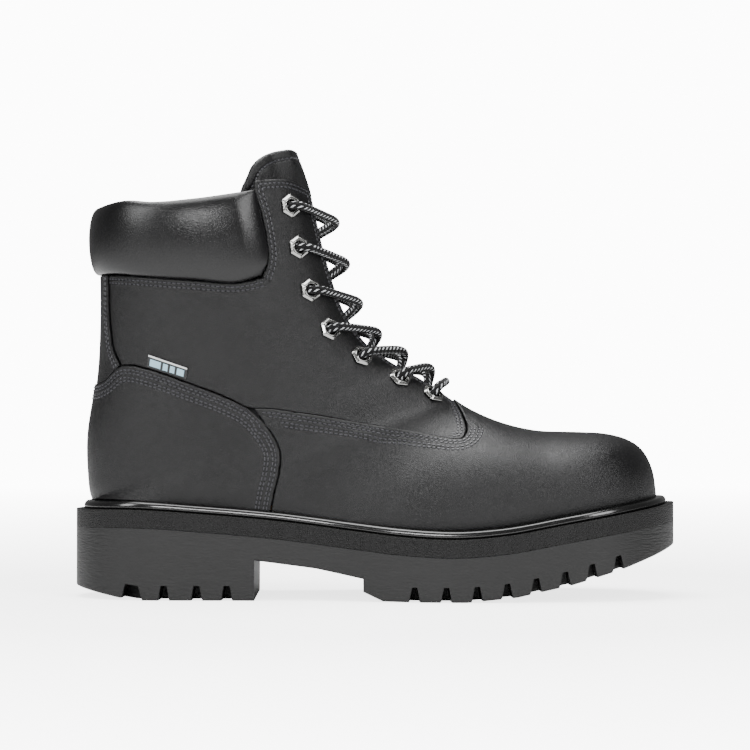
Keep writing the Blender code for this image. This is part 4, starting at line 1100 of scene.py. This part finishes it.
def padHalf(side, s, t):
    back = rim(uWhere(3, 166.5, 0, 6), uWhere(3, 201, 0, 6), 1, 34, side)
    front = edge(pattern["padFront"], 34, side)
    bottom, top = edge(pattern["padBottom"], 92, side), edge(pattern["padTop"], 92, side)
    bottom[0], bottom[-1], top[0], top[-1] = back[0], front[0], back[-1], front[-1]
    return patch(bottom, top, back, front, side, s, t)


# The pad swells outside and inside the leather: 0.2 + 5.6 s outside, -1.4 - 6 s inside, with
# s = (4 t (1 - t))^0.4, t running from its lower seam to its upper one
def padShell(name, s, t, finish):
    sheets = []
    for side in (lateral, medial):
        uv = padHalf(side, s, t)
        points = spot(uv, side)
        across, along = shareAlong(points, 1), shareAlong(points, 0)
        swell = np.clip(4 * across * (1 - across), 0, 1) ** 0.4 * np.clip((1 - along) * 9, 0, 1) ** 0.5
        sheets.append(sheetOf(uv, side, 0.2 + 5.6 * swell, -1.4 - 6.0 * swell))
    return closedShell(name, sheets, finish)


def pointsOf(mesh):
    flat = np.empty(len(mesh.vertices) * 3, np.float32)
    mesh.vertices.foreach_get("co", flat)
    return flat.reshape(-1, 3).astype(float)


padCloth = {"pressure": 4.0, "cap": 2.0, "held": 4.5, "frames": 20, "quality": 6, "mass": 0.25, "bending": 0.5}


# The leather cover blown up as cloth from a coarse copy, held along its seams. Returns where the copy's
# points were and how far they moved, at most the cap, in metres.
def inflated(copy):
    before = pointsOf(copy.data)
    seams = np.concatenate([padSeams(side) for side in (lateral, medial)])
    held = distanceTo(before / mm, seams) < padCloth["held"]
    copy.vertex_groups.new(name="seams").add(np.flatnonzero(held).tolist(), 1.0, "REPLACE")
    settings = copy.modifiers.new("cloth", "CLOTH").settings
    settings.quality = padCloth["quality"]
    settings.mass = padCloth["mass"]
    settings.use_pressure = True
    settings.uniform_pressure_force = padCloth["pressure"]
    settings.vertex_group_mass = "seams"
    settings.effector_weights.gravity = 0.0
    settings.bending_stiffness = padCloth["bending"]
    scene, cap = bpy.context.scene, padCloth["cap"]
    for step in range(1, padCloth["frames"] + 1):
        scene.frame_set(step)
    after = pointsOf(copy.evaluated_get(bpy.context.evaluated_depsgraph_get()).to_mesh())
    scene.frame_set(1)
    move = after - before
    length = np.linalg.norm(move, axis=1, keepdims=True)
    move *= np.minimum(1, cap * mm / np.maximum(length, 1e-9))
    bpy.data.objects.remove(copy)
    print("pad moved", round(float(length.max() / mm), 2), "mm at most, capped to", cap)
    return before, move


def padSeams(side):
    lines = [edge(pattern[key], 80, side) for key in ("padBottom", "padTop", "padFront")]
    return np.concatenate([spot(line, side) for line in lines])


# The coarse copy's movement is carried to the fine pad from the nearest points
def buildPad():
    fineS, fineT = spread(100, (False, True), 1.6), spread(40, (True, True), 1.2)
    pad = padShell("collar_pad_leather", fineS, fineT, finishes["collar"])
    copy = padShell("pad_copy", np.linspace(0, 1, 28), np.linspace(0, 1, 12), finishes["collar"])
    before, move = inflated(copy)
    points = pointsOf(pad.data)
    for start in range(0, len(points), 2000):
        part = points[start:start + 2000]
        away = ((part[:, None] - before[None]) ** 2).sum(-1)
        near = np.argpartition(away, 5, axis=1)[:, :5]
        weight = 1 / (np.take_along_axis(away, near, 1) + 1e-7)
        points[start:start + 2000] += (move[near] * weight[..., None]).sum(1) / weight.sum(1)[:, None]
    pad.data.vertices.foreach_set("co", points.astype(np.float32).ravel())
    pad.data.update()
    declare(pad, ["collar_pad"])


# Share of the way along one axis of a grid of points, by distance
def shareAlong(points, axis):
    steps = np.linalg.norm(np.diff(points, axis=axis), axis=-1)
    reach = np.cumsum(steps, axis=axis)
    reach = np.concatenate([np.zeros_like(np.take(reach, [0], axis)), reach], axis=axis)
    return reach / np.take(reach, [-1], axis)


tongueShape = {
    "edge": [(-64.5, 190), (-60, 172), (-55, 158), (-46, 142), (-30, 124), (-12, 110), (8, 99), (24, 93),
             (34, 91), (44, 92)],
    "top": [(-64.5, 190), (-65.8, 210), (-62, 217), (-59, 222.8), (-52.4, 228.8), (-45, 232.3), (-38.6, 233)],
    "outer": -9.2, "inner": -13.0, "crown": 4.6, "rise": 6.0, "tuck": 1.2,
}


def tongueHalf(side):
    baseU = uWhere(0, 47, heelCorner, lastRow)
    ridge = rim(uWhere(1, 233, 0, 3), baseU, 0, 150, side)
    crown = edge(tongueShape["top"], 90, side)
    wing = edge(tongueShape["edge"], 160, side)
    top = even(crown[45:], 30, side)[::-1]
    top[0] = ridge[0]
    back = even(np.concatenate([crown[:46][::-1], wing[1:]]), 150, side)
    back[0] = top[-1]
    base = edge([(47, 99), (44, 92)], 30, side)
    base[0], base[-1] = ridge[-1], back[-1]
    s, t = spread(170, (True, False)), spread(30, (False, True))
    return patch(ridge, back, top, base, side, s, t), chain(top, back)


def tongueLift(points):
    high = np.clip((points[..., 2] - 118) / 25, 0, 1)
    crown = tongueShape["crown"] * np.exp(-(points[..., 1] / 8.0) ** 2) * high
    rise = np.clip((points[..., 2] - 205) / 20, 0, 1) * tongueShape["rise"]
    aside = np.clip((np.abs(points[..., 1]) - 18) / 10, 0, 1)
    return np.minimum(crown + rise * (1 - 0.7 * aside), tongueShape["rise"]) - tongueShape["tuck"] * aside


# The tongue is quilted: it thins to a bound edge and dips along the row of stitches inside it
def buildTongue():
    sheets, rows = [], []
    for side in (lateral, medial):
        uv, outline = tongueHalf(side)
        points = spot(uv, side)
        away = distanceTo(points, lineOf(outline, side))
        lift = tongueLift(points)
        thin = 1.7 * (1 - np.sqrt(np.clip(away / 1.7, 0, 1) * (2 - np.clip(away / 1.7, 0, 1))))
        dip = 0.55 * np.exp(-((away - 5.0) / 0.8) ** 2)
        outer = tongueShape["outer"] + lift - thin - dip
        inner = tongueShape["inner"] + lift + thin
        sheets.append(sheetOf(uv, side, outer, inner))
        row = inset(outline, side, 5.0, seenAt(-45, 200, side))
        row = row[row[:, 1] > 0.01]
        centres, ways, ups = stitchRow(row, side, 0.0)
        height = tongueShape["outer"] + tongueLift(centres) - 0.35
        rows.append((centres + ups * height[:, None], ways, ups))
    tongue = closedShell("tongue_leather", sheets, finishes["leather"])
    declare(tongue, ["tongue"], "tongue")
    declare(stitchMesh("tongue_stitches", rows, finishes["thread"]), [], "tongue")


liningFront = [(-58, 160), (-52, 148), (-42, 130), (-28, 112), (-12, 98), (-4, 82), (-7, 60), (-12, 42)]


def shaftLiningHalf(side):
    back = rim(cornerU + 0.1, uWhere(3, 158, 0, heelCorner), 1, 60, side)
    front = edge(liningFront[::-1], 60, side)
    top = edge([(-143.4, 158), (-110, 158), (-80, 157), liningFront[0]], 60, side)
    bottom = rim(cornerU + 0.1, front[0, 0], 1, 60, side)
    bottom[1:, 1] = front[0, 1] = 0.97
    top[0], top[-1] = back[-1], front[-1]
    return patch(bottom, top, back, front, side)


def vampLiningHalf(side):
    left = edge(shifted(liningFront[-1:-4:-1], 1.8, 0), 40, side)
    top = edge([(-2.2, 82), (12, 82), (28, 82), (40, 85), (50, 90), (54, 95.3)], 40, side)
    top[0], top[-1, 1] = left[-1], 0
    ridge = rim(top[-1, 0], lastRow, 0, 60, side)
    turnU = uWhere(2, 45, 10, lastRow)
    bottom = chain(rim(left[0, 0], turnU, 1, 40, side), rim(turnU, lastRow, 1, 60, side))
    bottom[:, 1] = left[0, 1] = 0.97
    tip = np.stack([np.full(40, float(lastRow)), np.linspace(0.97, 0, 40)], -1)
    return patch(bottom, chain(top, ridge), left, tip, side)


def buildLinings():
    for name, node, half in (("shaft_lining_cloth", "shaft_lining", shaftLiningHalf),
                             ("vamp_lining_cloth", "vamp_lining", vampLiningHalf)):
        sheets = []
        for side in (lateral, medial):
            sheets.append(sheetOf(half(side), side, -5.8, -6.8))
        declare(closedShell(name, sheets, finishes["lining"]), [node])


# The tag is a band of tape with a white upper edge and blocks of pale blue yarn in place of any wording
def buildTag():
    lower = np.array([(-116.5, 118.9), (-96.6, 112.6)])
    upper = np.array([(-115.6, 125.1), (-95.7, 118.3)])

    def strip(name, first, final, low, high, face, finish, nodes):
        quad = [(lower[0] * (1 - s) + lower[1] * s) * (1 - t) + (upper[0] * (1 - s) + upper[1] * s) * t
                for s, t in ((first, low), (final, low), (first, high), (final, high))]
        a, b, c, d = [tuple(point) for point in quad]
        uv = patch(edge([a, b], 26, lateral), edge([c, d], 26, lateral), edge([a, c], 12, lateral),
                   edge([b, d], 12, lateral), lateral)
        declare(closedShell(name, [sheetOf(uv, lateral, *face)], finish), nodes)

    strip("side_tag_tape", 0, 1, 0, 1, (0.3, -0.35), finishes["tape"], ["side_tag"])
    strip("side_tag_edge", 0, 1, 0.86, 1.0, (0.42, 0.28), finishes["white"], [])
    for i, (first, final) in enumerate([(0.06, 0.34), (0.4, 0.52), (0.58, 0.7), (0.76, 0.94)]):
        strip(f"side_tag_block_{i + 1}", first, final, 0.16, 0.72, (0.42, 0.28), finishes["blue"], [])


# ---- sole

soleShape = {
    "margin": 9.0, "band": 9.0, "gap": 0.35, "notchHeight": 7.5, "notchDepth": 15.0, "edgeRadius": 0.9,
    "midsoleRound": 0.15, "midsoleDrop": 0.25, "step": 1.6, "weltCount": 600,
    "tread": [(-157, 6.5), (-150, 5.0), (-132, 1.5), (-122, 0.0), (-61.5, 0.0), (-61.4, 20.5), (-30, 16.5),
              (-6, 11.5), (-5.9, 5.0), (4, 0.4), (20, 0.0), (46, 0.0), (72, 2.6), (100, 8.8), (126, 16.5),
              (144, 23.0), (158, 28.6)],
    "notches": [(-124, 10, 6), (-107.5, 5, 2.5), (-90.8, 5, 2.5), (-75.4, 5, 2.5), (20, 5, 2), (36, 5, 2),
                (51.5, 5, 2), (66.7, 5, 2), (81.3, 5, 2), (96, 5, 2), (109.6, 5, 2), (123.3, 5, 2)],
    "weltProfile": [(-2.5, 0.2), (4.2, 0.2), (4.65, 0.4), (4.9, 0.75), (5.0, 1.2), (4.97, 1.8), (4.8, 2.5),
                    (4.45, 3.15), (3.9, 3.7), (3.15, 4.05), (2.2, 4.2), (1.0, 4.5), (-2.5, 4.5)],
}


# x of the ribs: cosine steps at the heel and the toe, even steps between them, and the extra places
def stations(margin, step, extra=()):
    heelReach = last["heelTurn"] - (last["heelTip"] - margin)
    toeReach = last["toeTip"] + margin - last["toeTurn"]
    turn = np.radians(np.linspace(0, 90, int(70 / step)))
    heel = last["heelTurn"] - heelReach * np.sin(turn)
    toe = last["toeTurn"] + toeReach * np.sin(turn)
    middle = np.arange(last["heelTurn"], last["toeTurn"], step)
    return np.unique(np.round(np.concatenate([heel, toe, middle, extra]), 3))


# One layer of the sole as a loop of points across each rib: top, one side down, bottom and the other side up
def soleLayer(name, xs, topZ, bottomZ, heights, insets, finish, across=24):
    share = (1 - np.cos(np.linspace(0, np.pi, across + 1))) / 2
    reach = {side: planHalf(xs, side, soleShape["margin"]) for side in (lateral, medial)}
    top, bottom = topZ(xs), bottomZ(xs)
    loops = []

    def add(y, z):
        loops.append(np.stack([xs, y, z], -1))

    z = bottom[:, None] + heights(xs, top - bottom)
    pull = insets(xs, z - bottom[:, None], top - bottom)
    width = {side: np.maximum(reach[side][:, None] - pull, 0) for side in (lateral, medial)}
    for s in share[1:-1]:
        add(-width[lateral][:, -1] * (1 - s) + width[medial][:, -1] * s, top)
    for i in range(z.shape[1] - 1, -1, -1):
        add(width[medial][:, i], z[:, i])
    for s in share[-2:0:-1]:
        add(-width[lateral][:, 0] * (1 - s) + width[medial][:, 0] * s, z[:, 0])
    for i in range(z.shape[1]):
        add(-width[lateral][:, i], z[:, i])
    points = np.stack(loops, 1)
    count = points.shape[1]
    return makeMesh(name, points.reshape(-1, 3), gridFaces(len(xs), count, wrap=True), finish)


def tread(x):
    xs, zs = zip(*soleShape["tread"])
    return np.interp(x, xs, zs)


def buildOutsole():
    extra = [x for x, _ in soleShape["tread"][1:-1]]
    for x, base, tip in soleShape["notches"]:
        for width in np.linspace(tip, base, 12):
            extra += [x - width / 2, x + width / 2]
        extra += list(x + np.linspace(-base / 2 - 0.6, base / 2 + 0.6, 9))
    xs = stations(soleShape["margin"], soleShape["step"], extra)
    low = np.array([0, 0.06, 0.22, 0.5, 0.9, 1.6, 2.4, 3.2, 4.0, 4.8, 5.6, 6.4, 7.0, 7.4, 7.6, 8.0])

    def heights(x, full):
        high = np.linspace(0.1, 1, 9)[None] * (full[:, None] - 8.0) + 8.0
        return np.concatenate([np.repeat(low[None], len(x), 0), high], axis=1)

    def insets(x, height, full):
        radius = soleShape["edgeRadius"]
        pull = radius - np.sqrt(np.maximum(radius ** 2 - np.maximum(radius - height, 0) ** 2, 0))
        for place, base, tip in soleShape["notches"]:
            rise = np.clip(height / soleShape["notchHeight"], 0, 1)
            half = (base + (tip - base) * rise) / 2
            inside = np.clip((half + 0.25 - np.abs(x[:, None] - place)) / 0.5, 0, 1)
            inside = inside * np.clip((soleShape["notchHeight"] + 0.1 - height) / 0.2, 0, 1)
            pull = pull + soleShape["notchDepth"] * inside
        return pull

    topZ = lambda x: soleTop(x) - soleShape["band"] - soleShape["gap"]
    piece = soleLayer("outsole_rubber", xs, topZ, tread, heights, insets, finishes["sole"])
    declare(piece, ["outsole"])


def buildMidsole():
    xs = stations(soleShape["margin"], soleShape["step"])

    def heights(x, full):
        shares = np.array([0, 0.02, 0.06, 0.15, 0.4, 0.7, 0.9, 0.97, 1.0])
        return shares[None] * full[:, None]

    def insets(x, height, full):
        edgeAway = np.minimum(height, full[:, None] - height)
        return soleShape["midsoleRound"] * (1 - np.clip(edgeAway / 0.5, 0, 1) ** 0.5)

    bottomZ = lambda x: soleTop(x) - soleShape["band"] - soleShape["midsoleDrop"]
    piece = soleLayer("midsole_band", xs, soleTop, bottomZ, heights, insets, finishes["stipple"], 16)
    declare(piece, ["midsole"])


# A profile of margin and height carried round the outline
def buildWelt():
    grid = []
    count = soleShape["weltCount"]
    for margin, height in soleShape["weltProfile"]:
        xs = stations(margin, soleShape["step"])
        plan = [np.stack([xs, side * planHalf(xs, side, margin)], -1)[::order][:-1]
                for side, order in ((lateral, 1), (medial, -1))]
        closed = np.concatenate([*plan, plan[0][:1]])
        at = reachOf(closed)
        turn = np.linspace(0, at[-1], count + 1)[:-1]
        loop = np.stack([np.interp(turn, at, closed[:, i]) for i in range(2)], -1)
        grid.append(np.column_stack([loop, soleTop(loop[:, 0]) + height]))
    piece = makeMesh("welt_strip", np.concatenate(grid), ringFaces(len(grid), count), finishes["welt"])
    declare(piece, ["welt"])


# CAD pieces inside the boot that keep their own shape
def finishInside():
    inner = {
        "steel_toe_cap": plainFinish("pressed steel, lacquered", "#9b9da0", 0.35, 1.0, 2.0, 0.02),
        "toe_cap_edge": plainFinish("soft rubber edging", "#1d1d1e", 0.7, grain=0.8, depth=0.05),
        "heel_stiffener": plainFinish("pressed fibre board, heel", "#8a6f4e", 0.9, grain=0.6, depth=0.1),
        "steel_shank": plainFinish("spring steel", "#8f9194", 0.3, 1.0, 0.8, 0.02, (1, 8, 8)),
        "insole_board": plainFinish("pressed fibre board", "#a08058", 0.92, grain=0.7, depth=0.12),
        "cork_filler": plainFinish("granulated cork", "#a5764a", 0.95, grain=1.3, depth=0.4),
        "footbed": finishes["foam"],
    }
    for name, finish in inner.items():
        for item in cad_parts[name].material_slots:
            item.material = finish


# The camera sees a white backdrop, while the boot is lit by a dimmer one, so that black stays black
def buildStudio():
    world = bpy.data.worlds.new("studio")
    bpy.context.scene.world = world
    world.use_nodes = True
    tree = world.node_tree
    background = tree.nodes["Background"]
    background.inputs["Color"].default_value = linear(studio["backdrop"])
    seen = addNode(tree, "ShaderNodeLightPath").outputs["Is Camera Ray"]
    strength = ramp(tree, seen, 0, 1, studio["fillStrength"], studio["backdropStrength"])
    tree.links.new(strength, background.inputs["Strength"])
    for name, place, target, size, power in studio["softboxes"]:
        softbox(name, place, target, size, power)
    floor = bpy.data.meshes.new("floor")
    floor.from_pydata([(-3, -3, 0), (3, -3, 0), (3, 3, 0), (-3, 3, 0)], [], [(0, 1, 2, 3)])
    finish = plainFinish("matt white floor", studio["floor"], 0.8)
    addObject("floor", floor, finish)
    # the camera sees it lifted towards white, more so further away, and the boot's shadow stays
    tree = finish.node_tree
    seen = addNode(tree, "ShaderNodeLightPath").outputs["Is Camera Ray"]
    place = objectPlace(tree, (1, 1, 1))
    away = addNode(tree, "ShaderNodeVectorMath", {0: place}, operation="LENGTH").outputs["Value"]
    lift = ramp(tree, away, 0.25, 1.6, *studio["floorLift"])
    strength = maths(tree, "MULTIPLY", seen, lift)
    shader = tree.nodes["Principled BSDF"]
    shader.inputs["Emission Color"].default_value = linear(studio["floor"])
    tree.links.new(strength, shader.inputs["Emission Strength"])


buildCamera()
buildStudio()
buildLace()
buildEyelets()
print("stage: leather")
buildCounter()
buildVamp()
buildQuarters()
buildBackstay()
print("stage: soft pieces")
buildPad()
buildTongue()
buildLinings()
buildTag()
print("stage: sole")
buildOutsole()
buildMidsole()
buildWelt()
finishInside()
